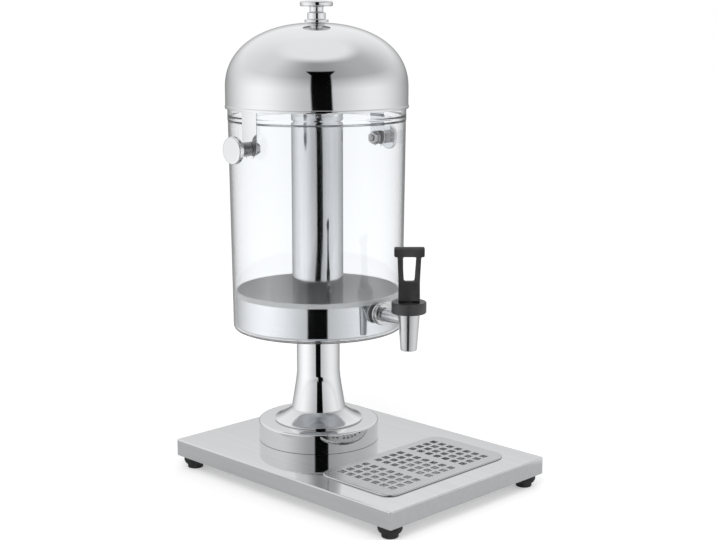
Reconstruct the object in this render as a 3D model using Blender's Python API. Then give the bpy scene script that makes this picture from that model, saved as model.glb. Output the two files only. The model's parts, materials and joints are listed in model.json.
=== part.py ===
"""A free-standing juice dispenser: a clear tank with an ice tube on a steel pedestal.

Metres, +Z up. The front, with the tap, faces -Y. The origin is on the floor, under the middle of
the base plate. Every size below is a driving size; the rest of the file works from them.
"""

import math

import bmesh
import bpy
from mathutils import Matrix, Vector

# Clearances and counts
FIT = 0.0003
THREAD_GAP = 0.0003
OVERRUN = 0.002
WELD_DISTANCE = 0.000001
TANK_SIDES = 40
PEDESTAL_SIDES = 36
BODY_SIDES = 28
SMALL_SIDES = 16
SCREW_SIDES = 12
CORNER_STEPS = 4
FILLET_STEPS = 2
SHARP_ANGLE = math.radians(35)

# Base plate, folded from one sheet
PLATE_WIDTH = 0.260
PLATE_DEPTH = 0.360
SKIRT_HEIGHT = 0.020
SHEET = 0.0012
PLATE_EDGE_ROUND = 0.0010
RETURN_FLANGE = 0.030

# Feet
FOOT_INSET = 0.016
FOOT_HEIGHT = 0.015
FOOT_HEAD_RADIUS = 0.0135
FOOT_HEAD_HEIGHT = 0.0095
FOOT_PAD_RADIUS = 0.0092
FOOT_ROUND = 0.0012
FOOT_RECESS_RADIUS = 0.0048
FOOT_RECESS_DEPTH = 0.0060
FOOT_SCREW_RADIUS = 0.0020
FOOT_SCREW_HEAD_RADIUS = 0.0040
FOOT_SCREW_HEAD_HEIGHT = 0.0025
FOOT_SCREW_RISE = 0.0050
SCREW_FACE_SHARE = 0.7

# Drip tray and its grille
GRILLE_WIDTH = 0.201
GRILLE_DEPTH = 0.112
GRILLE_CORNER = 0.016
GRILLE_CENTRE_Y = -0.094
GRILLE_SHEET = 0.0008
GRILLE_EDGE_ROUND = 0.0014
GRILLE_GROUPS = 3
GRILLE_COLUMNS = 4
GRILLE_ROWS = 7
GRILLE_HOLE = 0.0084
GRILLE_COLUMN_PITCH = 0.0125
GRILLE_ROW_PITCH = 0.0130
GRILLE_GROUP_PITCH = 0.0585
TRAY_SHEET = 0.0006
TRAY_RIM_GAP = 0.0008
TRAY_FLANGE = 0.0055
TRAY_WALL_GAP = 0.0006
TRAY_DEPTH = 0.0175
TRAY_DRAFT = 0.0030

# Pedestal
AXIS_Y = 0.065
DRUM_RADIUS = 0.0728
DRUM_HEIGHT = 0.0235
DRUM_ROUND = 0.0020
COLUMN_HEIGHT = 0.1153
COLUMN_RADIUS = 0.0259
COLUMN_SKIRT_RADIUS = 0.0533
COLUMN_SKIRT_EDGE = 0.0015
COLUMN_SKIRT_RISE = 0.0135
COLUMN_FLARE_RADIUS = 0.0328
COLUMN_FLARE_RISE = 0.0450
COLUMN_CAP = 0.0030
FLARE_STEPS = 5
FLARE_POWER = 1.25

# Tie rod that clamps base, pedestal, tank and ice tube together
ROD_RADIUS = 0.0050
ROD_TAIL = 0.0010
REINFORCEMENT_RADIUS = 0.0560
REINFORCEMENT_SHEET = 0.0020
ROD_WASHER_RADIUS = 0.0140
ROD_WASHER_SHEET = 0.0015
ROD_NUT_ACROSS = 0.0170
ROD_NUT_HEIGHT = 0.0080

# Steel pan that lines the bottom of the tank
PAN_RADIUS = 0.0981
PAN_HEIGHT = 0.0432
PAN_ROUND = 0.0030
PAN_SEAL_HEIGHT = 0.0055
PAN_SEAL_SHEET = 0.0005

# Clear tank
VESSEL_FLOOR = 0.0030
VESSEL_WALL = 0.0026
VESSEL_FOOT_RADIUS = 0.1015
VESSEL_NECK_RADIUS = 0.1046
VESSEL_HEIGHT = 0.2710
VESSEL_ROUND = 0.0035
COLLAR_RADIUS = 0.1050
COLLAR_HEIGHT = 0.0230

# Ice tube
TUBE_RADIUS = 0.0305
TUBE_LENGTH = 0.2800
TUBE_WALL = 0.0010
TUBE_PLUG = 0.0120
TUBE_SOCKET = 0.0100
TUBE_CHAMFER = 0.0015
TUBE_GASKET = 0.0015

# Lid
DOME_RADIUS = 0.1074
DOME_WALL_HEIGHT = 0.0235
DOME_RISE = 0.0750
DOME_POWER = 2.2
DOME_SHEET = 0.0008
DOME_OVERLAP = 0.0090
DOME_BEAD = 0.0006
DOME_BEAD_HEIGHT = 0.0030
DOME_STEPS = 9
DOME_SEAM_STEP = 6
DOME_SEAM_GAP = 0.0005
LID_GASKET_SHEET = 0.0030
LID_GASKET_WIDTH = 0.0080
KNOB_FLANGE_RADIUS = 0.0140
KNOB_FLANGE_HEIGHT = 0.0034
KNOB_BODY_RADIUS = 0.0107
KNOB_BODY_HEIGHT = 0.0080
KNOB_NECK_RADIUS = 0.0080
KNOB_NECK_HEIGHT = 0.0068
KNOB_DISC_RADIUS = 0.0192
KNOB_DISC_HEIGHT = 0.0065
KNOB_ROUND = 0.0015
KNOB_SCREW_RADIUS = 0.0020
KNOB_SCREW_HEAD_RADIUS = 0.0048
KNOB_SCREW_HEAD_HEIGHT = 0.0028
KNOB_SCREW_GRIP = 0.0120

# Lid clamps: a strap on each side of the lid, and a thumb screw in the tank wall
CLAMP_DROP = 0.0415
STRAP_WIDTH = 0.0250
STRAP_SHEET = 0.0009
STRAP_END_STEPS = 12
STRAP_SLOT_STEPS = 8
CLAMP_SHANK_RADIUS = 0.0040
CLAMP_HUB_RADIUS = 0.0080
CLAMP_HUB_LENGTH = 0.0190
CLAMP_DISC_RADIUS = 0.0155
CLAMP_DISC_LENGTH = 0.0070
CLAMP_DISC_ROUND = 0.0022
CLAMP_WASHER_RADIUS = 0.0085
CLAMP_WASHER_SHEET = 0.0015
CLAMP_NUT_ACROSS = 0.0130
CLAMP_NUT_HEIGHT = 0.0050
CLAMP_TAIL = 0.0015

# Tap
TAP_REACH = 0.1490
SHANK_HEIGHT = 0.0270
SHANK_RADIUS = 0.0080
SHANK_BORE = 0.0050
SHANK_TAIL = 0.0030
TAP_FLANGE_RADIUS = 0.0130
TAP_FLANGE_SHEET = 0.0050
TAP_GASKET_RADIUS = 0.0120
TAP_GASKET_SHEET = 0.0020
TAP_NUT_ACROSS = 0.0240
TAP_NUT_HEIGHT = 0.0060
SPOUT_LENGTH = 0.0430
SPOUT_TIP_RADIUS = 0.0092
SPOUT_TOP_RADIUS = 0.0124
SPOUT_ABOVE_SHANK = 0.0077
SPOUT_NECK_RADIUS = 0.0112
SPOUT_NECK_HEIGHT = 0.0088
SPOUT_BORE = 0.0065
CHAMBER_RADIUS = 0.0085
SEAT_BELOW_SHANK = 0.0090
SEAT_CONE = 0.0020
BONNET_RADIUS = 0.0198
BONNET_HEIGHT = 0.0130
BONNET_ROUND = 0.0012
BONNET_CEILING = 0.0036
STEM_RADIUS = 0.0025
STEM_STUD_RADIUS = 0.0015
STEM_STUD_LENGTH = 0.0018
STEM_HEAD = 0.0030
PLUG_RADIUS = 0.0078
PLUG_HEIGHT = 0.0034
PLUG_TIP_RADIUS = 0.0060
SPRING_RADIUS = 0.0052
SPRING_WIRE = 0.0005
SPRING_TURNS = 5.5
SPRING_POINTS_A_TURN = 12

# Tap lever: its foot is a cam that rocks on the bonnet and lifts the stem. It faces the corner
# between front and left, as the stem can turn in the tap
LEVER_TILT_DEG = 40
LEVER_TURN_DEG = -45
CAM_PIN_HEIGHT = 0.0060
CAM_LIFT_PER_RADIAN = 0.0040
CAM_HEEL = 0.0060
CAM_STEPS = 6
LEVER_HEIGHT = 0.0567
LEVER_FOOT_WIDTH = 0.0240
LEVER_NECK_WIDTH = 0.0265
LEVER_BAR_WIDTH = 0.0340
LEVER_WAIST_HEIGHT = 0.0160
LEVER_THICKNESS = 0.0060
LEVER_BAR_THICKNESS = 0.0080
LEVER_BAR_HEIGHT = 0.0110
LEVER_LEAN = 0.0045
LEVER_CORNER = 0.0015
WINDOW_SILL = 0.0175
WINDOW_SILL_WIDTH = 0.0120
WINDOW_HEAD_WIDTH = 0.0155
WINDOW_CORNER = 0.0020
PIN_RADIUS = 0.0013
PIN_LENGTH = 0.0190
PIN_GAP = 0.0003

# Heights and radii that follow from the driving sizes
plate_top = FOOT_HEIGHT + SKIRT_HEIGHT
plate_under = plate_top - SHEET
drum_foot = plate_top + FIT
drum_top = drum_foot + DRUM_HEIGHT
column_foot = drum_top + FIT
column_top = column_foot + COLUMN_HEIGHT
vessel_foot = column_top + FIT
vessel_floor = vessel_foot + VESSEL_FLOOR
vessel_top = vessel_foot + VESSEL_HEIGHT
collar_foot = vessel_top - COLLAR_HEIGHT
pan_foot = vessel_floor + FIT
pan_floor = pan_foot + SHEET
pan_top = pan_foot + PAN_HEIGHT
tube_gasket_foot = pan_floor + FIT
tube_foot = tube_gasket_foot + TUBE_GASKET + FIT
tube_top = tube_foot + TUBE_LENGTH
dome_foot = vessel_top - DOME_OVERLAP
dome_spring = dome_foot + DOME_WALL_HEIGHT
dome_top = dome_spring + DOME_RISE
knob_foot = dome_top + FIT
clamp_height = dome_foot - CLAMP_DROP
shank_height = pan_foot + SHANK_HEIGHT
tap_y = AXIS_Y - TAP_REACH
spout_shoulder = shank_height + SPOUT_ABOVE_SHANK
spout_foot = spout_shoulder - SPOUT_LENGTH
bonnet_foot = spout_shoulder + FIT
bonnet_top = bonnet_foot + BONNET_HEIGHT
bonnet_ceiling = bonnet_top - BONNET_CEILING
seat_height = shank_height - SEAT_BELOW_SHANK
plug_top = seat_height + PLUG_HEIGHT
pin_height = bonnet_top + FIT + CAM_PIN_HEIGHT
rod_hole = ROD_RADIUS + THREAD_GAP
tray_flange_foot = plate_top + FIT
tray_flange_top = tray_flange_foot + TRAY_SHEET
grille_under = tray_flange_top + FIT
grille_top = grille_under + GRILLE_SHEET
flange_inset = GRILLE_SHEET + TRAY_RIM_GAP
opening_inset = flange_inset + TRAY_FLANGE
mouth_inset = opening_inset + TRAY_WALL_GAP
lever_tilt = math.radians(LEVER_TILT_DEG)
lever_turn = math.radians(LEVER_TURN_DEG)


def vessel_outer(height):
    """Outer radius of the tapered tank wall at a height."""
    share = (height - vessel_foot) / (collar_foot - vessel_foot)
    return VESSEL_FOOT_RADIUS + (VESSEL_NECK_RADIUS - VESSEL_FOOT_RADIUS) * share


def inside_grille(inset):
    """Width, depth and corner of the grille's outline, drawn in by an inset."""
    return GRILLE_WIDTH - 2 * inset, GRILLE_DEPTH - 2 * inset, GRILLE_CORNER - inset


def clear_inside(radius, half_width):
    """How far out a flat face of half_width can lie inside a faceted round wall."""
    return math.sqrt(radius**2 - half_width**2) * math.cos(math.pi / TANK_SIDES) - FIT


# Materials

def material(name, colour, roughness, metallic=0.0, alpha=1.0):
    made = bpy.data.materials.new(name)
    made.use_nodes = True
    shader = made.node_tree.nodes["Principled BSDF"]
    shader.inputs["Base Color"].default_value = (*colour, 1.0)
    shader.inputs["Roughness"].default_value = roughness
    shader.inputs["Metallic"].default_value = metallic
    shader.inputs["Alpha"].default_value = alpha
    return made


def make_materials():
    return {
        "mirror_steel": material("mirror_steel", (0.80, 0.80, 0.81), 0.08, 1.0),
        "satin_steel": material("satin_steel", (0.66, 0.66, 0.67), 0.30, 1.0),
        "brushed_steel": material("brushed_steel", (0.55, 0.55, 0.56), 0.35, 1.0),
        "screw_steel": material("screw_steel", (0.50, 0.50, 0.52), 0.40, 1.0),
        "clear_plastic": material("clear_plastic", (0.93, 0.96, 0.97), 0.05, alpha=0.25),
        "black_plastic": material("black_plastic", (0.02, 0.02, 0.02), 0.30),
        "black_rubber": material("black_rubber", (0.03, 0.03, 0.03), 0.80),
        "silicone": material("silicone", (0.80, 0.81, 0.80), 0.60),
    }


# Building blocks

def add_object(name, bm, finish):
    """Turn a bmesh into a named object with smooth round faces."""
    bmesh.ops.remove_doubles(bm, verts=bm.verts, dist=WELD_DISTANCE)
    bmesh.ops.recalc_face_normals(bm, faces=bm.faces)
    mesh = bpy.data.meshes.new(name)
    bm.to_mesh(mesh)
    bm.free()
    mesh.materials.append(finish)
    mesh.shade_smooth()
    mesh.set_sharp_from_angle(angle=SHARP_ANGLE)
    made = bpy.data.objects.new(name, mesh)
    bpy.context.scene.collection.objects.link(made)
    return made


def turned(name, outline, finish, sides, arc=2 * math.pi, start=0.0):
    """Spin a section of (radius, height) points round +Z.

    A section whose ends lie on the axis is left open there; any other section is a closed loop.
    """
    bm = bmesh.new()
    first = Matrix.Rotation(start, 4, "Z")
    points = [bm.verts.new(first @ Vector((radius, 0, height))) for radius, height in outline]
    edges = [bm.edges.new(pair) for pair in zip(points, points[1:])]
    on_axis = outline[0][0] == 0 and outline[-1][0] == 0
    if not on_axis:
        edges.append(bm.edges.new((points[-1], points[0])))
    whole = math.isclose(arc, 2 * math.pi)
    bmesh.ops.spin(
        bm, geom=points + edges, cent=(0, 0, 0), axis=(0, 0, 1), angle=arc, steps=sides,
        use_merge=whole,
    )
    if not whole:
        bmesh.ops.holes_fill(bm, edges=[edge for edge in bm.edges if edge.is_boundary])
    return add_object(name, bm, finish)


def prism(name, outline, low, high, finish):
    """Extrude a flat outline of (x, y) points from one height to another."""
    bm = bmesh.new()
    face = bm.faces.new([bm.verts.new((x, y, low)) for x, y in outline])
    grown = bmesh.ops.extrude_face_region(bm, geom=[face])
    moved = [item for item in grown["geom"] if isinstance(item, bmesh.types.BMVert)]
    bmesh.ops.translate(bm, verts=moved, vec=(0, 0, high - low))
    return add_object(name, bm, finish)


def stacked(name, rings, finish):
    """Join a run of level outlines of equal count, with a cap on the first and the last."""
    bm = bmesh.new()
    loops = [[bm.verts.new((x, y, height)) for x, y in outline] for outline, height in rings]
    for lower, upper in zip(loops, loops[1:]):
        for index, corner in enumerate(lower):
            bm.faces.new((corner, lower[index - 1], upper[index - 1], upper[index]))
    bm.faces.new(loops[0])
    bm.faces.new(loops[-1])
    return add_object(name, bm, finish)


def rounded_rectangle(width, depth, corner, steps=CORNER_STEPS):
    points = []
    for turn, (side_x, side_y) in enumerate(((1, 1), (-1, 1), (-1, -1), (1, -1))):
        centre_x = side_x * (width / 2 - corner)
        centre_y = side_y * (depth / 2 - corner)
        for step in range(steps + 1):
            angle = (turn + step / steps) * math.pi / 2
            points.append((centre_x + corner * math.cos(angle), centre_y + corner * math.sin(angle)))
    return points


def polygon(across_flats, sides=6):
    radius = across_flats / 2 / math.cos(math.pi / sides)
    turns = [2 * math.pi * side / sides for side in range(sides)]
    return [(radius * math.cos(turn), radius * math.sin(turn)) for turn in turns]


def fillet(centre, radius, start_deg, end_deg, steps=FILLET_STEPS):
    """Points of an arc in a section, both ends included."""
    points = []
    for step in range(steps + 1):
        angle = math.radians(start_deg + (end_deg - start_deg) * step / steps)
        points.append((centre[0] + radius * math.cos(angle), centre[1] + radius * math.sin(angle)))
    return points


def thickened(outer, thickness):
    """Close an open line into a sheet's section: the sheet lies to the line's right, or left if
    the thickness is negative."""
    inner = []
    for index, point in enumerate(outer):
        before = Vector(outer[max(index - 1, 0)])
        after = Vector(outer[min(index + 1, len(outer) - 1)])
        along = (after - before).normalized()
        inner.append((point[0] + along.y * thickness, point[1] - along.x * thickness))
    return outer + inner[::-1]


def half_turn(steps, start):
    """Angles of half a turn from a start, both ends included."""
    return [start + math.pi * step / steps for step in range(steps + 1)]


def place(thing, x=0.0, y=0.0, z=0.0, turn_x=0.0, turn_y=0.0, turn_z=0.0):
    thing.location = (x, y, z)
    thing.rotation_euler = (turn_x, turn_y, turn_z)
    return thing


def combine(target, tool, operation):
    """Cut, join or intersect target with tool, which then stays as a wire guide."""
    step = target.modifiers.new(tool.name, "BOOLEAN")
    step.operation = operation
    step.solver = "EXACT"
    step.object = tool
    tool.hide_render = True
    tool.display_type = "WIRE"
    return target


def cut(target, tool):
    return combine(target, tool, "DIFFERENCE")


def cylinder(name, radius, low, high, finish, sides=SMALL_SIDES):
    return turned(name, [(0, low), (radius, low), (radius, high), (0, high)], finish, sides)


def ring(name, inner, outer, low, high, finish, sides):
    section = [(inner, low), (outer, low), (outer, high), (inner, high)]
    return turned(name, section, finish, sides)


def hex_nut(name, across, height, bore, finish):
    """A nut that stands on its own origin, with its bore along its own +Z."""
    nut = prism(name, polygon(across), 0, height, finish)
    tool = cylinder(name + "_bore_tool", bore, -OVERRUN, height + OVERRUN, finish)
    tool.parent = nut
    return cut(nut, tool)


# Base, feet and drip tray

def foot_places():
    """Names and centres of the four feet."""
    x = PLATE_WIDTH / 2 - FOOT_INSET
    y = PLATE_DEPTH / 2 - FOOT_INSET
    return {"front_left": (-x, -y), "front_right": (x, -y), "back_left": (-x, y), "back_right": (x, y)}


def base_plate(finish):
    outline = rounded_rectangle(PLATE_WIDTH, PLATE_DEPTH, PLATE_EDGE_ROUND, FILLET_STEPS)
    inset = rounded_rectangle(
        PLATE_WIDTH - 2 * PLATE_EDGE_ROUND, PLATE_DEPTH - 2 * PLATE_EDGE_ROUND,
        PLATE_EDGE_ROUND / 2, FILLET_STEPS,
    )
    rings = [(outline, FOOT_HEIGHT), (outline, plate_top - PLATE_EDGE_ROUND), (inset, plate_top)]
    plate = stacked("base_plate", rings, finish)

    def tool(name, width, depth, corner, low, high, y=0.0):
        return place(prism(name, rounded_rectangle(width, depth, corner), low, high, finish), y=y)

    inner_width = PLATE_WIDTH - 2 * SHEET
    inner_depth = PLATE_DEPTH - 2 * SHEET
    cut(plate, tool("plate_hollow_tool", inner_width, inner_depth, PLATE_EDGE_ROUND,
                    FOOT_HEIGHT + SHEET, plate_under))
    cut(plate, tool("plate_underside_tool", PLATE_WIDTH - 2 * RETURN_FLANGE,
                    PLATE_DEPTH - 2 * RETURN_FLANGE, PLATE_EDGE_ROUND,
                    FOOT_HEIGHT - OVERRUN, FOOT_HEIGHT + SHEET + OVERRUN))
    cut(plate, tool("tray_opening_tool", *inside_grille(opening_inset), plate_under - OVERRUN,
                    plate_top + OVERRUN, GRILLE_CENTRE_Y))
    cut(plate, place(cylinder("plate_rod_tool", rod_hole, plate_under - OVERRUN,
                              plate_top + OVERRUN, finish), y=AXIS_Y))
    for corner, (x, y) in foot_places().items():
        hole = cylinder("plate_" + corner + "_tool", FOOT_SCREW_RADIUS + THREAD_GAP,
                        FOOT_HEIGHT - OVERRUN, FOOT_HEIGHT + SHEET + OVERRUN, finish, SCREW_SIDES)
        cut(plate, place(hole, x, y))
    return plate


def foot(corner, x, y, finish):
    top = FOOT_HEIGHT - FIT
    shoulder = top - FOOT_HEAD_HEIGHT
    bore = FOOT_SCREW_RADIUS + THREAD_GAP
    section = [
        (FOOT_RECESS_RADIUS, 0),
        (FOOT_PAD_RADIUS, 0),
        (FOOT_PAD_RADIUS, shoulder - FOOT_ROUND),
        (FOOT_HEAD_RADIUS - 2 * FOOT_ROUND, shoulder),
        (FOOT_HEAD_RADIUS - FOOT_ROUND / 2, shoulder + FOOT_ROUND),
        (FOOT_HEAD_RADIUS, top - FOOT_ROUND),
        (FOOT_HEAD_RADIUS - FOOT_ROUND / 2, top),
        (bore, top),
        (bore, FOOT_RECESS_DEPTH),
        (FOOT_RECESS_RADIUS, FOOT_RECESS_DEPTH),
    ]
    return place(turned("foot_" + corner, section, finish, SMALL_SIDES), x, y)


def foot_screw(corner, x, y, finish):
    head_top = FOOT_RECESS_DEPTH - FIT
    head_foot = head_top - FOOT_SCREW_HEAD_HEIGHT
    end = FOOT_HEIGHT + SHEET + FOOT_SCREW_RISE
    section = [
        (0, head_foot),
        (FOOT_SCREW_HEAD_RADIUS * SCREW_FACE_SHARE, head_foot),
        (FOOT_SCREW_HEAD_RADIUS, head_foot + FOOT_SCREW_HEAD_HEIGHT / 2),
        (FOOT_SCREW_HEAD_RADIUS, head_top),
        (FOOT_SCREW_RADIUS, head_top),
        (FOOT_SCREW_RADIUS, end - FOOT_SCREW_RADIUS / 2),
        (0, end),
    ]
    return place(turned("foot_screw_" + corner, section, finish, SCREW_SIDES), x, y)


def drip_tray(finish):
    """A pressed tray that hangs in the plate's opening by a flange on the plate's top."""
    bottom = tray_flange_top - TRAY_DEPTH
    flange = rounded_rectangle(*inside_grille(flange_inset))

    def drawn_in(inset, draft=0.0):
        width, depth, corner = inside_grille(mouth_inset + inset)
        return rounded_rectangle(width - 2 * draft, depth - 2 * draft, corner)

    rings = [
        (drawn_in(0, TRAY_DRAFT), bottom),
        (drawn_in(0), tray_flange_foot),
        (flange, tray_flange_foot),
        (flange, tray_flange_top),
        (drawn_in(TRAY_SHEET), tray_flange_top),
        (drawn_in(TRAY_SHEET, TRAY_DRAFT), bottom + TRAY_SHEET),
    ]
    return place(stacked("drip_tray", rings, finish), y=GRILLE_CENTRE_Y)


def grille_holes(finish):
    """One cutter with a square post for every hole."""
    bm = bmesh.new()
    for group in range(GRILLE_GROUPS):
        group_x = (group - (GRILLE_GROUPS - 1) / 2) * GRILLE_GROUP_PITCH
        for column in range(GRILLE_COLUMNS):
            x = group_x + (column - (GRILLE_COLUMNS - 1) / 2) * GRILLE_COLUMN_PITCH
            for row in range(GRILLE_ROWS):
                y = (row - (GRILLE_ROWS - 1) / 2) * GRILLE_ROW_PITCH
                spot = Matrix.Translation((x, y, grille_top))
                bmesh.ops.create_cube(bm, size=GRILLE_HOLE, matrix=spot)
    return add_object("grille_holes_tool", bm, finish)


def drip_grille(finish):
    """A perforated sheet whose turned-down rim hides the tray's flange."""
    def level(inset, height):
        return (rounded_rectangle(*inside_grille(inset)), height)

    edge = fillet((GRILLE_EDGE_ROUND, grille_top - GRILLE_EDGE_ROUND), GRILLE_EDGE_ROUND, 90, 180)
    rings = [level(inset, height) for inset, height in edge]
    rings.append(level(0, tray_flange_foot))
    rings.append(level(GRILLE_SHEET, tray_flange_foot))
    rings.append(level(GRILLE_SHEET, grille_top - GRILLE_EDGE_ROUND))
    rings.append(level(GRILLE_EDGE_ROUND, grille_under))
    grille = place(stacked("drip_grille", rings, finish), y=GRILLE_CENTRE_Y)
    return cut(grille, place(grille_holes(finish), y=GRILLE_CENTRE_Y))


# Pedestal and tie rod

def pedestal_drum(finish):
    corner = (DRUM_RADIUS - DRUM_ROUND, drum_top - DRUM_ROUND)
    outer = [(rod_hole, drum_top)]
    outer += fillet(corner, DRUM_ROUND, 90, 0)
    outer.append((DRUM_RADIUS, drum_foot))
    return place(turned("pedestal_drum", thickened(outer, SHEET), finish, PEDESTAL_SIDES), y=AXIS_Y)


def column_outer_line():
    """The column's outer line from the drum up: skirt edge, hollow skirt, flare, straight tube."""
    skirt_foot = column_foot + COLUMN_SKIRT_EDGE
    skirt_top = skirt_foot + COLUMN_SKIRT_RISE
    reach = COLUMN_SKIRT_RADIUS - COLUMN_FLARE_RADIUS
    line = [(COLUMN_SKIRT_RADIUS, column_foot)]
    for step in range(FLARE_STEPS + 1):
        angle = math.pi / 2 * step / FLARE_STEPS
        line.append((
            COLUMN_SKIRT_RADIUS - reach * math.sin(angle),
            skirt_foot + COLUMN_SKIRT_RISE * (1 - math.cos(angle)),
        ))
    for step in range(1, FLARE_STEPS + 1):
        share = step / FLARE_STEPS
        swell = (COLUMN_FLARE_RADIUS - COLUMN_RADIUS) * (1 - share) ** FLARE_POWER
        line.append((COLUMN_RADIUS + swell, skirt_top + COLUMN_FLARE_RISE * share))
    return line


def pedestal_column(finish):
    outer = column_outer_line()
    outer.append((COLUMN_RADIUS, column_top))
    sheet = thickened(outer, -SHEET)
    inner = sheet[len(outer):]
    cap = [
        (rod_hole, column_top),
        (rod_hole, column_top - COLUMN_CAP),
        (COLUMN_RADIUS - SHEET, column_top - COLUMN_CAP),
    ]
    section = outer + cap + inner[1:-1] + [(COLUMN_SKIRT_RADIUS - SHEET, column_foot)]
    return place(turned("pedestal_column", section, finish, PEDESTAL_SIDES), y=AXIS_Y)


def tie_rod_parts(steel):
    """The rod, and the disc, washer and nut that draw it down under the base plate."""
    disc_top = plate_under - FIT
    disc_foot = disc_top - REINFORCEMENT_SHEET
    washer_top = disc_foot - FIT
    washer_foot = washer_top - ROD_WASHER_SHEET
    nut_top = washer_foot - FIT
    nut_foot = nut_top - ROD_NUT_HEIGHT
    rod_top = tube_foot + TUBE_SOCKET - FIT
    rod = cylinder("tie_rod", ROD_RADIUS, nut_foot - ROD_TAIL, rod_top, steel)
    disc = ring("reinforcement_disc", rod_hole, REINFORCEMENT_RADIUS, disc_foot, disc_top, steel,
                BODY_SIDES)
    washer = ring("tie_rod_washer", rod_hole, ROD_WASHER_RADIUS, washer_foot, washer_top, steel,
                  SMALL_SIDES)
    nut = hex_nut("tie_rod_nut", ROD_NUT_ACROSS, ROD_NUT_HEIGHT, rod_hole, steel)
    for piece in (rod, disc, washer):
        place(piece, y=AXIS_Y)
    place(nut, y=AXIS_Y, z=nut_foot)


# Tank, pan and ice tube

def shank_tool(name, radius, finish):
    """A round cutter along -Y from the tank's axis, at the height of the tap's shank."""
    tool = cylinder(name, radius, 0, TAP_REACH, finish)
    return place(tool, y=AXIS_Y, z=shank_height, turn_x=math.pi / 2)


def tank_vessel(finish):
    foot_corner = (VESSEL_FOOT_RADIUS - VESSEL_ROUND, vessel_foot + VESSEL_ROUND)
    neck_inside = VESSEL_NECK_RADIUS - VESSEL_WALL
    section = [(rod_hole, vessel_foot)]
    section += fillet(foot_corner, VESSEL_ROUND, -90, 0)
    section += [
        (VESSEL_NECK_RADIUS, collar_foot),
        (COLLAR_RADIUS, collar_foot),
        (COLLAR_RADIUS, vessel_top),
        (neck_inside, vessel_top),
        (neck_inside, collar_foot),
        (vessel_outer(vessel_floor) - VESSEL_WALL, vessel_floor),
        (rod_hole, vessel_floor),
    ]
    vessel = place(turned("tank_vessel", section, finish, TANK_SIDES), y=AXIS_Y)
    cut(vessel, shank_tool("vessel_shank_tool", SHANK_RADIUS + THREAD_GAP, finish))
    through = cylinder("vessel_clamp_tool", CLAMP_SHANK_RADIUS + THREAD_GAP, -COLLAR_RADIUS - OVERRUN,
                       COLLAR_RADIUS + OVERRUN, finish, SCREW_SIDES)
    place(through, y=AXIS_Y, z=clamp_height, turn_y=math.pi / 2)
    return cut(vessel, through)


def tank_pan(finish):
    corner = (PAN_RADIUS - PAN_ROUND, pan_foot + PAN_ROUND)
    outer = [(rod_hole, pan_foot)]
    outer += fillet(corner, PAN_ROUND, -90, 0)
    outer.append((PAN_RADIUS, pan_top))
    pan = place(turned("tank_pan", thickened(outer, -SHEET), finish, TANK_SIDES), y=AXIS_Y)
    return cut(pan, shank_tool("pan_shank_tool", SHANK_RADIUS + THREAD_GAP, finish))


def tank_seals(finish):
    seal_foot = pan_top - PAN_SEAL_HEIGHT
    seal_inner = PAN_RADIUS + FIT
    seal = ring("pan_seal", seal_inner, seal_inner + PAN_SEAL_SHEET, seal_foot, pan_top, finish,
                TANK_SIDES)
    gasket = ring("ice_tube_gasket", rod_hole, TUBE_RADIUS, tube_gasket_foot,
                  tube_gasket_foot + TUBE_GASKET, finish, BODY_SIDES)
    for piece in (seal, gasket):
        place(piece, y=AXIS_Y)


def ice_tube(finish):
    inner = TUBE_RADIUS - TUBE_WALL
    section = [
        (0, tube_foot + TUBE_SOCKET),
        (rod_hole, tube_foot + TUBE_SOCKET),
        (rod_hole, tube_foot),
        (TUBE_RADIUS - TUBE_CHAMFER, tube_foot),
        (TUBE_RADIUS, tube_foot + TUBE_CHAMFER),
        (TUBE_RADIUS, tube_top),
        (inner, tube_top),
        (inner, tube_foot + TUBE_PLUG),
        (0, tube_foot + TUBE_PLUG),
    ]
    return place(turned("ice_tube", section, finish, BODY_SIDES), y=AXIS_Y)


# Lid

def dome_outer_line():
    """From the hole at the crown down the domed top and the straight wall to the beaded rim."""
    hole = KNOB_SCREW_RADIUS + THREAD_GAP
    line = []
    for step in range(DOME_STEPS + 1):
        angle = math.pi / 2 * step / DOME_STEPS
        radius = DOME_RADIUS * math.sin(angle) ** (2 / DOME_POWER)
        height = dome_spring + DOME_RISE * abs(math.cos(angle)) ** (2 / DOME_POWER)
        line.append((max(radius, hole), height))
    line.append((DOME_RADIUS, dome_foot + DOME_BEAD_HEIGHT))
    line.append((DOME_RADIUS + DOME_BEAD, dome_foot + DOME_BEAD_HEIGHT / 2))
    line.append((DOME_RADIUS, dome_foot))
    return line


def lid_dome(finish):
    """The spun crown, down to the seam with the rolled wall."""
    outer = dome_outer_line()[:DOME_SEAM_STEP + 1]
    return place(turned("lid_dome", thickened(outer, DOME_SHEET), finish, TANK_SIDES), y=AXIS_Y)


def lid_wall(finish):
    """The rolled lower part of the lid, from just under the seam to the beaded rim."""
    outer = dome_outer_line()[DOME_SEAM_STEP:]
    seam = Vector(outer[0])
    below = Vector(outer[1])
    outer[0] = tuple(seam + (below - seam).normalized() * DOME_SEAM_GAP)
    wall_end = len(outer) - 3
    inner = thickened(outer[:wall_end], DOME_SHEET)[wall_end:]
    section = outer + [(DOME_RADIUS - DOME_SHEET, dome_foot)] + inner
    return place(turned("lid_wall", section, finish, TANK_SIDES), y=AXIS_Y)


def lid_gasket(finish):
    outer = DOME_RADIUS - DOME_SHEET - FIT
    foot_height = vessel_top + FIT
    made = ring("lid_gasket", outer - LID_GASKET_WIDTH, outer, foot_height,
                foot_height + LID_GASKET_SHEET, finish, TANK_SIDES)
    return place(made, y=AXIS_Y)


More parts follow.
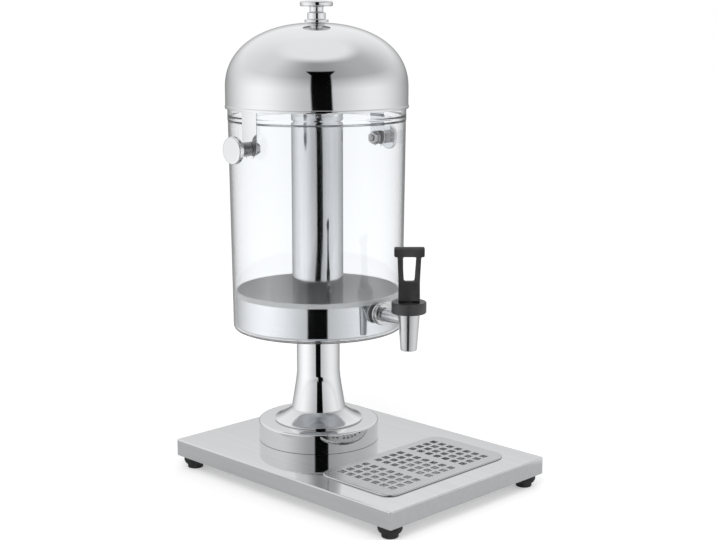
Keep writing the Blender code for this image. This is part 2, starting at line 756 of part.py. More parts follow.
def lid_knob(finish):
    hole = KNOB_SCREW_RADIUS + THREAD_GAP
    flange_top = knob_foot + KNOB_FLANGE_HEIGHT
    body_top = flange_top + KNOB_BODY_HEIGHT
    disc_foot = body_top + KNOB_NECK_HEIGHT
    disc_top = disc_foot + KNOB_DISC_HEIGHT
    disc_corner = (KNOB_DISC_RADIUS - KNOB_ROUND, disc_top - KNOB_ROUND)
    disc_under = (KNOB_DISC_RADIUS - KNOB_ROUND, disc_foot + KNOB_ROUND)
    section = [
        (0, knob_foot + KNOB_SCREW_GRIP),
        (hole, knob_foot + KNOB_SCREW_GRIP),
        (hole, knob_foot),
        (KNOB_FLANGE_RADIUS, knob_foot),
        (KNOB_FLANGE_RADIUS, flange_top - KNOB_ROUND),
        (KNOB_FLANGE_RADIUS - KNOB_ROUND, flange_top),
        (KNOB_BODY_RADIUS, flange_top),
        (KNOB_BODY_RADIUS, body_top - KNOB_ROUND),
        (KNOB_BODY_RADIUS - KNOB_ROUND, body_top),
        (KNOB_NECK_RADIUS, body_top + KNOB_ROUND),
        (KNOB_NECK_RADIUS, disc_foot - KNOB_ROUND),
        (KNOB_NECK_RADIUS + KNOB_ROUND, disc_foot),
    ]
    section += fillet(disc_under, KNOB_ROUND, -90, 0)
    section += fillet(disc_corner, KNOB_ROUND, 0, 90)
    section.append((0, disc_top))
    return place(turned("lid_knob", section, finish, SMALL_SIDES), y=AXIS_Y)


def knob_screw(finish):
    head_top = dome_top - DOME_SHEET - FIT
    head_foot = head_top - KNOB_SCREW_HEAD_HEIGHT
    end = knob_foot + KNOB_SCREW_GRIP - FIT
    section = [
        (0, head_foot),
        (KNOB_SCREW_HEAD_RADIUS * SCREW_FACE_SHARE, head_foot),
        (KNOB_SCREW_HEAD_RADIUS, head_foot + KNOB_SCREW_HEAD_HEIGHT / 2),
        (KNOB_SCREW_HEAD_RADIUS, head_top),
        (KNOB_SCREW_RADIUS, head_top),
        (KNOB_SCREW_RADIUS, end),
        (0, end),
    ]
    return place(turned("knob_screw", section, finish, SCREW_SIDES), y=AXIS_Y)


# Lid clamps

def lid_strap(side_name, side, finish):
    """A sheet strap that follows the tank's facets, with a round end slotted over the screw."""
    inner = COLLAR_RADIUS + FIT
    outer = inner + STRAP_SHEET
    top = vessel_top - FIT
    bottom = clamp_height - STRAP_WIDTH / 2
    facet = 2 * math.pi / TANK_SIDES
    centre_turn = 0 if side > 0 else math.pi
    section = [(inner, bottom - OVERRUN), (outer, bottom - OVERRUN), (outer, top), (inner, top)]
    strap = turned("lid_strap_" + side_name, section, finish, 2, arc=2 * facet,
                   start=centre_turn - facet)
    place(strap, y=AXIS_Y)

    half = STRAP_WIDTH / 2
    slot = CLAMP_SHANK_RADIUS + THREAD_GAP
    end = [(half * math.sin(turn), -half * math.cos(turn))
           for turn in half_turn(STRAP_END_STEPS, -math.pi / 2)]
    blank = end + [(half, top + OVERRUN - clamp_height), (-half, top + OVERRUN - clamp_height)]
    crown = [(slot * math.cos(turn), slot * math.sin(turn))
             for turn in half_turn(STRAP_SLOT_STEPS, 0)]
    notch = crown + [(-slot, -half - OVERRUN), (slot, -half - OVERRUN)]

    for name, outline, operation in (("blank", blank, "INTERSECT"), ("slot", notch, "DIFFERENCE")):
        tool = prism("strap_" + side_name + "_" + name + "_tool", outline, inner - 2 * OVERRUN,
                     outer + OVERRUN, finish)
        upright = Matrix(((0, 0, side, 0), (side, 0, 0, AXIS_Y), (0, 1, 0, clamp_height), (0, 0, 0, 1)))
        tool.matrix_world = upright
        combine(strap, tool, operation)
    return strap


def clamp_parts(side_name, side, bright, steel, rubber):
    """The thumb screw with its washer and nut, turned about the screw's own axis."""
    turn_y = side * math.pi / 2
    hub_start = COLLAR_RADIUS + STRAP_SHEET + 2 * FIT
    hub_end = hub_start + CLAMP_HUB_LENGTH
    disc_end = hub_end + CLAMP_DISC_LENGTH
    wall_inside = vessel_outer(clamp_height - CLAMP_WASHER_RADIUS) - VESSEL_WALL
    washer_outer = clear_inside(wall_inside, CLAMP_WASHER_RADIUS)
    washer_inner = washer_outer - CLAMP_WASHER_SHEET
    nut_outer = washer_inner - FIT
    nut_inner = nut_outer - CLAMP_NUT_HEIGHT
    disc_inner_corner = (CLAMP_DISC_RADIUS - CLAMP_DISC_ROUND / 2, hub_end + CLAMP_DISC_ROUND / 2)
    disc_outer_corner = (CLAMP_DISC_RADIUS - CLAMP_DISC_ROUND, disc_end - CLAMP_DISC_ROUND)
    section = [
        (0, nut_inner - CLAMP_TAIL),
        (CLAMP_SHANK_RADIUS, nut_inner - CLAMP_TAIL),
        (CLAMP_SHANK_RADIUS, hub_start),
        (CLAMP_HUB_RADIUS, hub_start),
        (CLAMP_HUB_RADIUS, hub_end),
    ]
    section += fillet(disc_inner_corner, CLAMP_DISC_ROUND / 2, -90, 0)
    section += fillet(disc_outer_corner, CLAMP_DISC_ROUND, 0, 90)
    section.append((0, disc_end))
    screw = turned("clamp_screw_" + side_name, section, bright, SMALL_SIDES)
    hole = CLAMP_SHANK_RADIUS + THREAD_GAP
    washer = ring("clamp_washer_" + side_name, hole, CLAMP_WASHER_RADIUS, washer_inner, washer_outer,
                  rubber, SMALL_SIDES)
    for piece in (screw, washer):
        place(piece, y=AXIS_Y, z=clamp_height, turn_y=turn_y)
    nut = hex_nut("clamp_nut_" + side_name, CLAMP_NUT_ACROSS, CLAMP_NUT_HEIGHT, hole, steel)
    place(nut, x=side * nut_inner, y=AXIS_Y, z=clamp_height, turn_y=turn_y)


# Tap

def tap_body(finish):
    """Tapered spout with a threaded neck, joined to a flanged shank that runs back to the tank."""
    neck_top = spout_shoulder + SPOUT_NECK_HEIGHT
    spout = place(turned("tap_body", [
        (0, spout_foot),
        (SPOUT_TIP_RADIUS, spout_foot),
        (SPOUT_TOP_RADIUS, spout_shoulder),
        (SPOUT_NECK_RADIUS, spout_shoulder),
        (SPOUT_NECK_RADIUS, neck_top),
        (0, neck_top),
    ], finish, BODY_SIDES), y=tap_y)

    def reach(radius):
        """Distance from the spout's axis to a place at a radius from the tank's axis."""
        return TAP_REACH - radius

    gasket_inner = vessel_outer(shank_height + TAP_GASKET_RADIUS) + FIT
    flange_face = gasket_inner + TAP_GASKET_SHEET + FIT
    tail = tap_nut_inner() - SHANK_TAIL
    shank = place(turned("tap_shank_form", [
        (0, 0),
        (SHANK_RADIUS, 0),
        (SHANK_RADIUS, reach(flange_face + TAP_FLANGE_SHEET)),
        (TAP_FLANGE_RADIUS, reach(flange_face + TAP_FLANGE_SHEET)),
        (TAP_FLANGE_RADIUS, reach(flange_face)),
        (SHANK_RADIUS, reach(flange_face)),
        (SHANK_RADIUS, reach(tail)),
        (0, reach(tail)),
    ], finish, BODY_SIDES), y=tap_y, z=shank_height, turn_x=-math.pi / 2)
    combine(spout, shank, "UNION")
    cut(spout, place(turned("tap_way_tool", [
        (0, spout_foot - OVERRUN),
        (SPOUT_BORE, spout_foot - OVERRUN),
        (SPOUT_BORE, seat_height - SEAT_CONE),
        (CHAMBER_RADIUS, seat_height),
        (CHAMBER_RADIUS, neck_top + OVERRUN),
        (0, neck_top + OVERRUN),
    ], finish, SMALL_SIDES), y=tap_y))
    bore = cylinder("tap_shank_bore_tool", SHANK_BORE, 0, reach(tail) + OVERRUN, finish)
    return cut(spout, place(bore, y=tap_y, z=shank_height, turn_x=-math.pi / 2))


def tap_washer_face():
    """Distance from the tank's axis to the face of the washer inside the pan."""
    return clear_inside(PAN_RADIUS - SHEET, TAP_GASKET_RADIUS)


def tap_nut_inner():
    return tap_washer_face() - TAP_GASKET_SHEET - FIT - TAP_NUT_HEIGHT


def tap_fixings(steel, rubber):
    """Outer gasket, inner washer and nut that hold the shank in the tank wall."""
    hole = SHANK_RADIUS + THREAD_GAP
    gasket_inner = vessel_outer(shank_height + TAP_GASKET_RADIUS) + FIT
    washer_outer = tap_washer_face()
    gasket = ring("tap_gasket", hole, TAP_GASKET_RADIUS, gasket_inner,
                  gasket_inner + TAP_GASKET_SHEET, rubber, SMALL_SIDES)
    washer = ring("tap_washer", hole, TAP_GASKET_RADIUS, washer_outer - TAP_GASKET_SHEET,
                  washer_outer, rubber, SMALL_SIDES)
    for piece in (gasket, washer):
        place(piece, y=AXIS_Y, z=shank_height, turn_x=math.pi / 2)
    nut = hex_nut("tap_nut", TAP_NUT_ACROSS, TAP_NUT_HEIGHT, hole, steel)
    place(nut, y=AXIS_Y - tap_nut_inner(), z=shank_height, turn_x=math.pi / 2)


def tap_bonnet(finish):
    bore = SPOUT_NECK_RADIUS + THREAD_GAP
    stem_hole = STEM_RADIUS + FIT
    low_corner = (BONNET_RADIUS - BONNET_ROUND, bonnet_foot + BONNET_ROUND)
    high_corner = (BONNET_RADIUS - BONNET_ROUND, bonnet_top - BONNET_ROUND)
    section = [(bore, bonnet_foot)]
    section += fillet(low_corner, BONNET_ROUND, -90, 0)
    section += fillet(high_corner, BONNET_ROUND, 0, 90)
    section += [(stem_hole, bonnet_top), (stem_hole, bonnet_ceiling), (bore, bonnet_ceiling)]
    return place(turned("tap_bonnet", section, finish, BODY_SIDES), y=tap_y)


def valve_stem(finish):
    shoulder = plug_top + FIT
    top = pin_height + STEM_HEAD
    stud_foot = plug_top - STEM_STUD_LENGTH
    stem = place(turned("valve_stem", [
        (0, stud_foot),
        (STEM_STUD_RADIUS, stud_foot),
        (STEM_STUD_RADIUS, shoulder),
        (STEM_RADIUS, shoulder),
        (STEM_RADIUS, top - STEM_RADIUS / 2),
        (STEM_RADIUS / 2, top),
        (0, top),
    ], finish, SMALL_SIDES), y=tap_y)
    eye = cylinder("stem_eye_tool", PIN_RADIUS + PIN_GAP, -STEM_RADIUS - OVERRUN,
                   STEM_RADIUS + OVERRUN, finish, SCREW_SIDES)
    return cut(stem, place(eye, y=tap_y, z=pin_height, turn_y=math.pi / 2, turn_z=lever_turn))


def valve_plug(finish):
    socket = STEM_STUD_RADIUS + FIT
    socket_foot = plug_top - STEM_STUD_LENGTH - FIT
    tip = seat_height - SEAT_CONE / 2
    rest = seat_height + FIT
    return place(turned("valve_plug", [
        (0, tip),
        (PLUG_TIP_RADIUS - FIT, tip),
        (PLUG_RADIUS, rest),
        (PLUG_RADIUS, plug_top),
        (socket, plug_top),
        (socket, socket_foot),
        (0, socket_foot),
    ], finish, SMALL_SIDES), y=tap_y)


def valve_spring(finish):
    """A coil between the plug and the bonnet, as a round wire on a helix."""
    low = plug_top + FIT + SPRING_WIRE
    high = bonnet_ceiling - FIT - SPRING_WIRE
    count = round(SPRING_TURNS * SPRING_POINTS_A_TURN)
    curve = bpy.data.curves.new("valve_spring", "CURVE")
    curve.dimensions = "3D"
    curve.bevel_depth = SPRING_WIRE
    curve.bevel_resolution = 1
    curve.use_fill_caps = True
    wire = curve.splines.new("POLY")
    wire.points.add(count)
    for index, point in enumerate(wire.points):
        turn = 2 * math.pi * index / SPRING_POINTS_A_TURN
        height = low + (high - low) * index / count
        point.co = (SPRING_RADIUS * math.cos(turn), SPRING_RADIUS * math.sin(turn), height, 1)
    curve.materials.append(finish)
    made = bpy.data.objects.new("valve_spring", curve)
    bpy.context.scene.collection.objects.link(made)
    return place(made, y=tap_y)


# Tap lever

def cam_line():
    """The foot's front in (y, z) about the pin: an involute that lifts the pin evenly."""
    line = []
    for step in range(CAM_STEPS + 1):
        turn = lever_tilt * step / CAM_STEPS
        drop = CAM_PIN_HEIGHT + CAM_LIFT_PER_RADIAN * turn
        line.append((
            -CAM_LIFT_PER_RADIAN * math.cos(turn) - drop * math.sin(turn),
            CAM_LIFT_PER_RADIAN * math.sin(turn) - drop * math.cos(turn),
        ))
    return line


def lever_side_outline():
    """Side view in (y, z) about the pin: cam foot, blade that leans forward, thicker top bar."""
    half = LEVER_THICKNESS / 2
    bar = LEVER_BAR_THICKNESS / 2
    bar_foot = LEVER_HEIGHT - LEVER_BAR_HEIGHT
    heel = cam_line()[-1]

    def lean(height):
        return -LEVER_LEAN * height / LEVER_HEIGHT

    outline = [(CAM_HEEL, -CAM_PIN_HEIGHT)]
    outline += cam_line()
    outline += [
        (heel[0], 0),
        (lean(LEVER_WAIST_HEIGHT) - half, LEVER_WAIST_HEIGHT),
        (lean(bar_foot) - half, bar_foot - half),
        (lean(bar_foot) - bar, bar_foot),
        (lean(LEVER_HEIGHT) - bar, LEVER_HEIGHT - bar / 2),
        (lean(LEVER_HEIGHT) - bar / 2, LEVER_HEIGHT),
        (lean(LEVER_HEIGHT) + bar / 2, LEVER_HEIGHT),
        (lean(LEVER_HEIGHT) + bar, LEVER_HEIGHT - bar / 2),
        (lean(bar_foot) + bar, bar_foot),
        (lean(bar_foot) + half, bar_foot - half),
        (lean(LEVER_WAIST_HEIGHT) + half, LEVER_WAIST_HEIGHT),
        (CAM_HEEL, 0),
    ]
    return outline


def softened(corners, radius):
    """Round each corner of a straight-sided outline with a short arc."""
    points = []
    for index, corner in enumerate(corners):
        here = Vector(corner)
        back = (Vector(corners[index - 1]) - here).normalized()
        ahead = (Vector(corners[(index + 1) % len(corners)]) - here).normalized()
        for step in range(FILLET_STEPS + 1):
            share = step / FILLET_STEPS
            point = here + back * radius * (1 - share) ** 2 + ahead * radius * share**2
            points.append((point.x, point.y))
    return points


def lever_front_outline():
    """Front view in (x, z) about the pin: block, spreading posts and a bar that overhangs them."""
    bar_foot = LEVER_HEIGHT - LEVER_BAR_HEIGHT
    return softened([
        (-LEVER_FOOT_WIDTH / 2, -CAM_PIN_HEIGHT - OVERRUN),
        (LEVER_FOOT_WIDTH / 2, -CAM_PIN_HEIGHT - OVERRUN),
        (LEVER_FOOT_WIDTH / 2, LEVER_WAIST_HEIGHT),
        (LEVER_NECK_WIDTH / 2, bar_foot),
        (LEVER_BAR_WIDTH / 2, bar_foot),
        (LEVER_BAR_WIDTH / 2, LEVER_HEIGHT),
        (-LEVER_BAR_WIDTH / 2, LEVER_HEIGHT),
        (-LEVER_BAR_WIDTH / 2, bar_foot),
        (-LEVER_NECK_WIDTH / 2, bar_foot),
        (-LEVER_FOOT_WIDTH / 2, LEVER_WAIST_HEIGHT),
    ], LEVER_CORNER)


def window_outline():
    head = LEVER_HEIGHT - LEVER_BAR_HEIGHT
    return softened([
        (-WINDOW_SILL_WIDTH / 2, WINDOW_SILL),
        (WINDOW_SILL_WIDTH / 2, WINDOW_SILL),
        (WINDOW_HEAD_WIDTH / 2, head),
        (-WINDOW_HEAD_WIDTH / 2, head),
    ], WINDOW_CORNER)


def stem_sweep_outline(half):
    """Side view in (y, z) of the room that the upright stem needs while the lever tips forward."""
    foot_height = -CAM_PIN_HEIGHT - OVERRUN
    head_height = math.hypot(STEM_RADIUS / 2, STEM_HEAD) + FIT
    slant = half * math.sin(lever_tilt) - foot_height
    front = -half * math.cos(lever_tilt) - slant * math.tan(lever_tilt)
    return [
        (2 * CAM_HEEL, foot_height),
        (2 * CAM_HEEL, head_height),
        (-half, head_height),
        (-half, half * math.tan(lever_tilt / 2)),
        (front, foot_height),
    ]


def tap_lever(finish):
    """The side view drawn out across the width, trimmed by the front view, then slotted."""
    span = LEVER_BAR_WIDTH / 2 + OVERRUN
    lever = prism("tap_lever", lever_side_outline(), -span, span, finish)
    across = Matrix(((0, 0, 1, 0), (1, 0, 0, 0), (0, 1, 0, 0), (0, 0, 0, 1)))
    lever.data.transform(across)
    place(lever, y=tap_y, z=pin_height, turn_z=lever_turn)
    facing = Matrix(((1, 0, 0, 0), (0, 0, 1, 0), (0, 1, 0, 0), (0, 0, 0, 1)))
    for name, outline, operation in (
        ("lever_front_form", lever_front_outline(), "INTERSECT"),
        ("lever_window_tool", window_outline(), "DIFFERENCE"),
    ):
        tool = prism(name, outline, -span, span, finish)
        tool.data.transform(facing)
        tool.data.flip_normals()
        combine(lever, place(tool, y=tap_y, z=pin_height, turn_z=lever_turn), operation)
    slot_half = STEM_RADIUS + 2 * FIT
    slot = prism("lever_slot_tool", stem_sweep_outline(slot_half), -slot_half, slot_half, finish)
    slot.data.transform(across)
    cut(lever, place(slot, y=tap_y, z=pin_height, turn_z=lever_turn))
    bore = cylinder("lever_pin_tool", PIN_RADIUS + PIN_GAP, -PIN_LENGTH / 2 - FIT,
                    PIN_LENGTH / 2 + FIT, finish, SCREW_SIDES)
    return cut(lever, place(bore, y=tap_y, z=pin_height, turn_y=math.pi / 2, turn_z=lever_turn))


def lever_pin(finish):
    pin = cylinder("lever_pin", PIN_RADIUS, -PIN_LENGTH / 2, PIN_LENGTH / 2, finish, SCREW_SIDES)
    return place(pin, y=tap_y, z=pin_height, turn_y=math.pi / 2, turn_z=lever_turn)


def build():
    for thing in list(bpy.data.objects):
        bpy.data.objects.remove(thing, do_unlink=True)
    finish = make_materials()
    base_plate(finish["satin_steel"])
    for corner, (x, y) in foot_places().items():
        foot(corner, x, y, finish["black_rubber"])
        foot_screw(corner, x, y, finish["screw_steel"])
    drip_tray(finish["brushed_steel"])
    drip_grille(finish["satin_steel"])
    pedestal_drum(finish["mirror_steel"])
    pedestal_column(finish["mirror_steel"])
    tie_rod_parts(finish["screw_steel"])
    tank_vessel(finish["clear_plastic"])
    tank_pan(finish["brushed_steel"])
    tank_seals(finish["silicone"])
    ice_tube(finish["brushed_steel"])
    lid_dome(finish["mirror_steel"])
    lid_wall(finish["mirror_steel"])
    lid_gasket(finish["silicone"])
    lid_knob(finish["mirror_steel"])
    knob_screw(finish["screw_steel"])
    for side_name, side in (("left", -1), ("right", 1)):
        lid_strap(side_name, side, finish["mirror_steel"])
        clamp_parts(side_name, side, finish["mirror_steel"], finish["screw_steel"], finish["silicone"])
    tap_body(finish["satin_steel"])
    tap_fixings(finish["satin_steel"], finish["silicone"])
    tap_bonnet(finish["black_plastic"])
    valve_stem(finish["screw_steel"])
    valve_plug(finish["silicone"])
    valve_spring(finish["screw_steel"])
    tap_lever(finish["black_plastic"])
    lever_pin(finish["screw_steel"])
    bpy.context.view_layer.update()


build()
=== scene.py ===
"""Looks of the juice dispenser: fine turned and pressed forms, finishes, studio and camera.

Metres, +Z up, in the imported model's frame. Outer sizes and places come from the frame's nodes; the
sizes below are the ones that a node's box can't give.
"""

import json
import math

import bmesh
import bpy
from mathutils import Matrix, Vector


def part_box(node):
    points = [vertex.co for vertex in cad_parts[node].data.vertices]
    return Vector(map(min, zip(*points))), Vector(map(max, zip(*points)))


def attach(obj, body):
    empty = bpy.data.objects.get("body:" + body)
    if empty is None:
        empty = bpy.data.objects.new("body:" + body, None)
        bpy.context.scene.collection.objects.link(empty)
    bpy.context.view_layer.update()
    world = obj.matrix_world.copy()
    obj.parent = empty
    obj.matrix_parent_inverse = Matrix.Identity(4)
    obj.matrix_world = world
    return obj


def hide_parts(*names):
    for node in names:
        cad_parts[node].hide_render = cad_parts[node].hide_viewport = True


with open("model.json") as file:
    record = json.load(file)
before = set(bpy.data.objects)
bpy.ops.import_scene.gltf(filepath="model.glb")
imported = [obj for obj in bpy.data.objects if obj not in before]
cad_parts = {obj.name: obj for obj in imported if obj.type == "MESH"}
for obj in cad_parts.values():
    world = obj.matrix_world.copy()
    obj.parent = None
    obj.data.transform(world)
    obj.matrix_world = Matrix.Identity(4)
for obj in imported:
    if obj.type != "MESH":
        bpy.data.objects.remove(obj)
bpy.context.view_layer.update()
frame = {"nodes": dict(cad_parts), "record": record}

# Mesh fineness
ROUND_SIDES = 144
SMALL_SIDES = 64
EASE_STEPS = 5
ROUND_STEPS = 8
KNOB_STEPS = 7
SEAL_STEPS = 3
CORNER_STEPS = 8
SHARP_ANGLE = math.radians(32)
FLAT_ANGLE = math.radians(1)
WELD_DISTANCE = 0.000001
OVERRUN = 0.002
GAP = 0.0003

# Camera
CAMERA_PLACE = (-1.1301, -1.1251, 0.5484)
CAMERA_TOWARD = (0.6976, 0.6927, -0.1833)
CAMERA_LENS_MM = 69.87
CAMERA_SENSOR_MM = 36.0

# Studio: levels are shares of white, turns are degrees from the camera's side, + to its right
FLOOR_RADIUS = 5.0
FLOOR_SIDES = 96
FLOOR_ALBEDO = 0.8
FILL_LEVEL = 0.8
LEVEL_LIMIT = 1.5

# Fields of light: behind, at the left, at the camera's side, at the right and behind again
FIELD_TURNS = (-180, -75, 0, 75, 180)
LOW_FIELDS = (0.25, 1.15, 0.6, 1.0, 0.25)
HIGH_FIELDS = (1.0, 0.8, 0.35, 0.5, 1.0)
# Painted light on the floor: mirrors see its colour in these fields
FLOOR_PAINTED_LIGHT_FIELDS = (0.2, 1.1, 0.5, 0.9, 0.2)
# Painted shade: mirrors see the floor near the object at this level, for the object's own shade
FLOOR_NEAR_PAINTED_SHADE = 0.5
OVERHEAD_LEVEL = 0.95
NEAR_FROM = 0.35
NEAR_UNTIL = 0.39
LOW_UNTIL = 1
HIGH_FROM = 24
HIGH_UNTIL = 53
OVERHEAD_FROM = 69

# Black panel: its middle and half width are turns, its other limits are heights in degrees
CARD_MIDDLE = 7
CARD_LOW_MIDDLE = 13
CARD_FLOOR_MIDDLE = 1
CARD_LEAN_FROM = -3
CARD_LEAN_UNTIL = -8
CARD_HALF = 13
CARD_WIDER = 7
CARD_WIDER_FROM = 27
CARD_TOP = 37
CARD_EDGE = 2
CARD_LEVEL = 0.005
CARD_SLANT_FROM = 1.20
CARD_SLANT_UNTIL = 1.70

# Lamps
KEY_PLACE = (-1.5, -0.9, 2.0)
KEY_SIZE = 1.4
KEY_WATTS = 14.0
FILL_PLACE = (1.7, -1.3, 1.4)
FILL_SIZE = 1.6
FILL_WATTS = 5.0

# Grain of worked steel: how fast a pattern changes along X, Y and Z, as shares
ALONG_X = (0.03, 1.0, 1.0)
ALONG_Y = (1.0, 0.03, 1.0)
ALONG_Z = (1.0, 1.0, 0.02)
# Painted light: steel inside and underneath a spun piece takes this lighter colour, to lift its shaded
# hollows
INSIDE_PAINTED_LIGHT_COLOUR = (0.96, 0.96, 0.965, 1.0)
SMUDGE_SHARE = 0.6
PLASTIC_WAVE = 0.000006
INSIDE_BELOW = -0.001
INSIDE_RISE = 0.7

# Base plate and feet
PLATE_EDGE = 0.0016
PLATE_CORNER = 0.0022
PLATE_SHEET = 0.0012
PLATE_RETURN = 0.030
FOOT_HOLE = 0.0024
FOOT_PAD_RADIUS = 0.0092
FOOT_HEAD_HEIGHT = 0.0095
FOOT_RECESS_RADIUS = 0.0048
FOOT_RECESS_DEPTH = 0.0060
FOOT_HOLE_EASE = 0.0003
FOOT_RECESS_EASE = 0.0004
FOOT_MOUTH_EASE = 0.0005
FOOT_PAD_FLARE = 0.0004
FOOT_CREASE = 0.0004
FOOT_RIM_EASE = 0.0010
FOOT_HEAD_SLOPE = 0.0022
FOOT_HEAD_RISE = 0.0034
FOOT_HEAD_ROUND = 0.0014
FOOT_CORNERS = ("front_left", "front_right", "back_left", "back_right")

# Drip tray and grille
GRILLE_CORNER = 0.016
GRILLE_SHEET = 0.0008
GRILLE_ROUND = 0.0016
GRILLE_GROUPS = 3
GRILLE_COLUMNS = 4
GRILLE_ROWS = 7
GRILLE_HOLE = 0.0084
GRILLE_HOLE_CORNER = 0.0012
GRILLE_HOLE_LIP = 0.00025
GRILLE_CORNER_STEPS = 12
GRILLE_HOLE_STEPS = 4
GRILLE_COLUMN_PITCH = 0.0125
GRILLE_ROW_PITCH = 0.0130
GRILLE_GROUP_PITCH = 0.0585
TRAY_SHEET = 0.0006
TRAY_MOUTH_INSET = 0.0061
TRAY_DRAFT = 0.0030
TRAY_ROUND = 0.0040
OPENING_INSET = 0.0071

# Pedestal
DRUM_ROUND = 0.0022
COLUMN_RADIUS = 0.0259
COLUMN_SKIRT_EDGE = 0.0015
COLUMN_SKIRT_RISE = 0.0135
COLUMN_SKIRT_POWER = 1.25
COLUMN_FLARE_RADIUS = 0.0328
COLUMN_FLARE_RISE = 0.0450
COLUMN_FLARE_POWER = 1.25
FLARE_STEPS = 24
ROD_HOLE = 0.0053

# Tank, pan and ice tube
VESSEL_FLOOR = 0.0030
VESSEL_WALL = 0.0026
VESSEL_FOOT_RADIUS = 0.1015
VESSEL_NECK_RADIUS = 0.1046
VESSEL_ROUND = 0.0040
VESSEL_LIP = 0.0008
RIDGE_HEIGHT = 0.0065
RIDGE_DEPTH = 0.0014
RIDGE_ROUND = 0.0014
RIDGE_EASE = 0.0010
RIDGE_TOP_SHARE = 0.7
RIDGE_FOOT_SHARE = 0.2
RIDGE_RUN_OUT = 0.0008
COLLAR_HEIGHT = 0.0230
COLLAR_STEP = 0.0006
COLLAR_EASE = 0.0003
PAN_SHEET = 0.0012
PAN_ROUND = 0.0035
SHANK_HOLE = 0.0083
CLAMP_HOLE = 0.0043
TUBE_WALL = 0.0010
TUBE_PLUG = 0.0120
TUBE_ROUND = 0.0015
TUBE_FLOOR_ROUND = 0.0020

# Lid
DOME_WALL = 0.0235
DOME_POWER = 2.2
DOME_STEPS = 56
DOME_SHEET = 0.0008
DOME_HOLE = 0.0023
DOME_BEAD = 0.0006
DOME_BEAD_HEIGHT = 0.0036
KNOB_FLANGE_RADIUS = 0.0140
KNOB_FLANGE_HEIGHT = 0.0034
KNOB_BODY_RADIUS = 0.0107
KNOB_BODY_HEIGHT = 0.0080
KNOB_NECK_RADIUS = 0.0080
KNOB_NECK_HEIGHT = 0.0068
KNOB_DISC_RADIUS = 0.0192
KNOB_ROUND = 0.0015
KNOB_CROWN = 0.0006
KNOB_FOOT_EASE = 0.0005
KNOB_CREASE = 0.0006
KNOB_NECK_CREASE = 0.0012
KNOB_NECK_ROUND = 0.0018
KNOB_DISC_FOOT_ROUND = 0.0020
KNOB_DISC_TOP_ROUND = 0.0022
KNOB_CROWN_ROUND = 0.0040

# Lid clamps
STRAP_SHEET = 0.0009
STRAP_STEPS = 16
STRAP_EDGE = 0.0003
STRAP_END_STEPS = 24
STRAP_TOOL_DEPTH = 0.012
CLAMP_HUB_RADIUS = 0.0080
CLAMP_DISC_LENGTH = 0.0070
CLAMP_DISC_ROUND = 0.0024
CLAMP_DISC_BACK_ROUND = 0.0018
CLAMP_SHANK_RADIUS = 0.0040
CLAMP_SHANK_TIP = 0.0008
THREAD_PITCH = 0.0019
THREAD_DEPTH = 0.0009

# One turn of the thread: share of the pitch, and depth below the crest
THREAD_FORM = ((0.1, THREAD_DEPTH), (0.4, 0), (0.6, 0), (0.9, THREAD_DEPTH))

# Tap
TAP_SHANK_RADIUS = 0.0080
TAP_BORE = 0.0065
TAP_TOP_RADIUS = 0.0124
TAP_TIP_RADIUS = 0.0092
TAP_NECK_RADIUS = 0.0112
TAP_NECK_HEIGHT = 0.0088
TAP_FLANGE_RADIUS = 0.0130
TAP_FLANGE_SHEET = 0.0050
TAP_SHOULDER_ABOVE_SHANK = 0.0077
TAP_INNER_EASE = 0.0002
TAP_EDGE_EASE = 0.0006
TAP_TIP_EASE = 0.0008
TAP_SHOULDER_ROUND = 0.0012
TAP_FLANGE_CREASE = 0.0008
TAP_FLANGE_ROUND = 0.0012
BONNET_ROUND = 0.0014
BONNET_STEM_HOLE = 0.0028
BONNET_HOLE_EASE = 0.0003
BONNET_SHEET = 0.0036
LEVER_EDGE = 0.0007


# Node helpers

def add_node(tree, kind, settings=None, **inputs):
    """Add a shader node. An input's name has _ for spaces, and takes a value or another output."""
    made = tree.nodes.new(kind)
    for name, value in (settings or {}).items():
        setattr(made, name, value)
    for name, value in inputs.items():
        feed(tree, made.inputs[name.replace("_", " ")], value)
    return made


def feed(tree, socket, value):
    if isinstance(value, bpy.types.NodeSocket):
        tree.links.new(value, socket)
    else:
        socket.default_value = value


def maths(tree, operation, *values):
    made = tree.nodes.new("ShaderNodeMath")
    made.operation = operation
    for socket, value in zip(made.inputs, values):
        feed(tree, socket, value)
    return made.outputs[0]


def blend(tree, share, first, second):
    """A number that runs from first to second as share runs from 0 to 1."""
    made = tree.nodes.new("ShaderNodeMix")
    made.data_type = "FLOAT"
    for socket, value in zip((made.inputs[0], made.inputs[2], made.inputs[3]), (share, first, second)):
        feed(tree, socket, value)
    return made.outputs[0]


def tint(tree, share, first, second):
    """A colour that runs from first to second as share runs from 0 to 1."""
    made = tree.nodes.new("ShaderNodeMix")
    made.data_type = "RGBA"
    for socket, value in zip((made.inputs[0], made.inputs[6], made.inputs[7]), (share, first, second)):
        feed(tree, socket, value)
    return made.outputs[2]


def remap(tree, value, start, end, low=0.0, high=1.0, kind="LINEAR"):
    """Map start..end to low..high and hold the ends."""
    settings = {"interpolation_type": kind}
    return add_node(tree, "ShaderNodeMapRange", settings, Value=value, From_Min=start, From_Max=end,
                    To_Min=low, To_Max=high).outputs[0]


def noise(tree, place, scale, detail=2.0, rough=0.5):
    return add_node(tree, "ShaderNodeTexNoise", None, Vector=place, Scale=scale, Detail=detail,
                    Roughness=rough).outputs[0]


def scaled(tree, place, factors):
    made = add_node(tree, "ShaderNodeVectorMath", {"operation": "MULTIPLY"})
    feed(tree, made.inputs[0], place)
    feed(tree, made.inputs[1], factors)
    return made.outputs[0]


def own_place(tree):
    return add_node(tree, "ShaderNodeTexCoord").outputs["Object"]


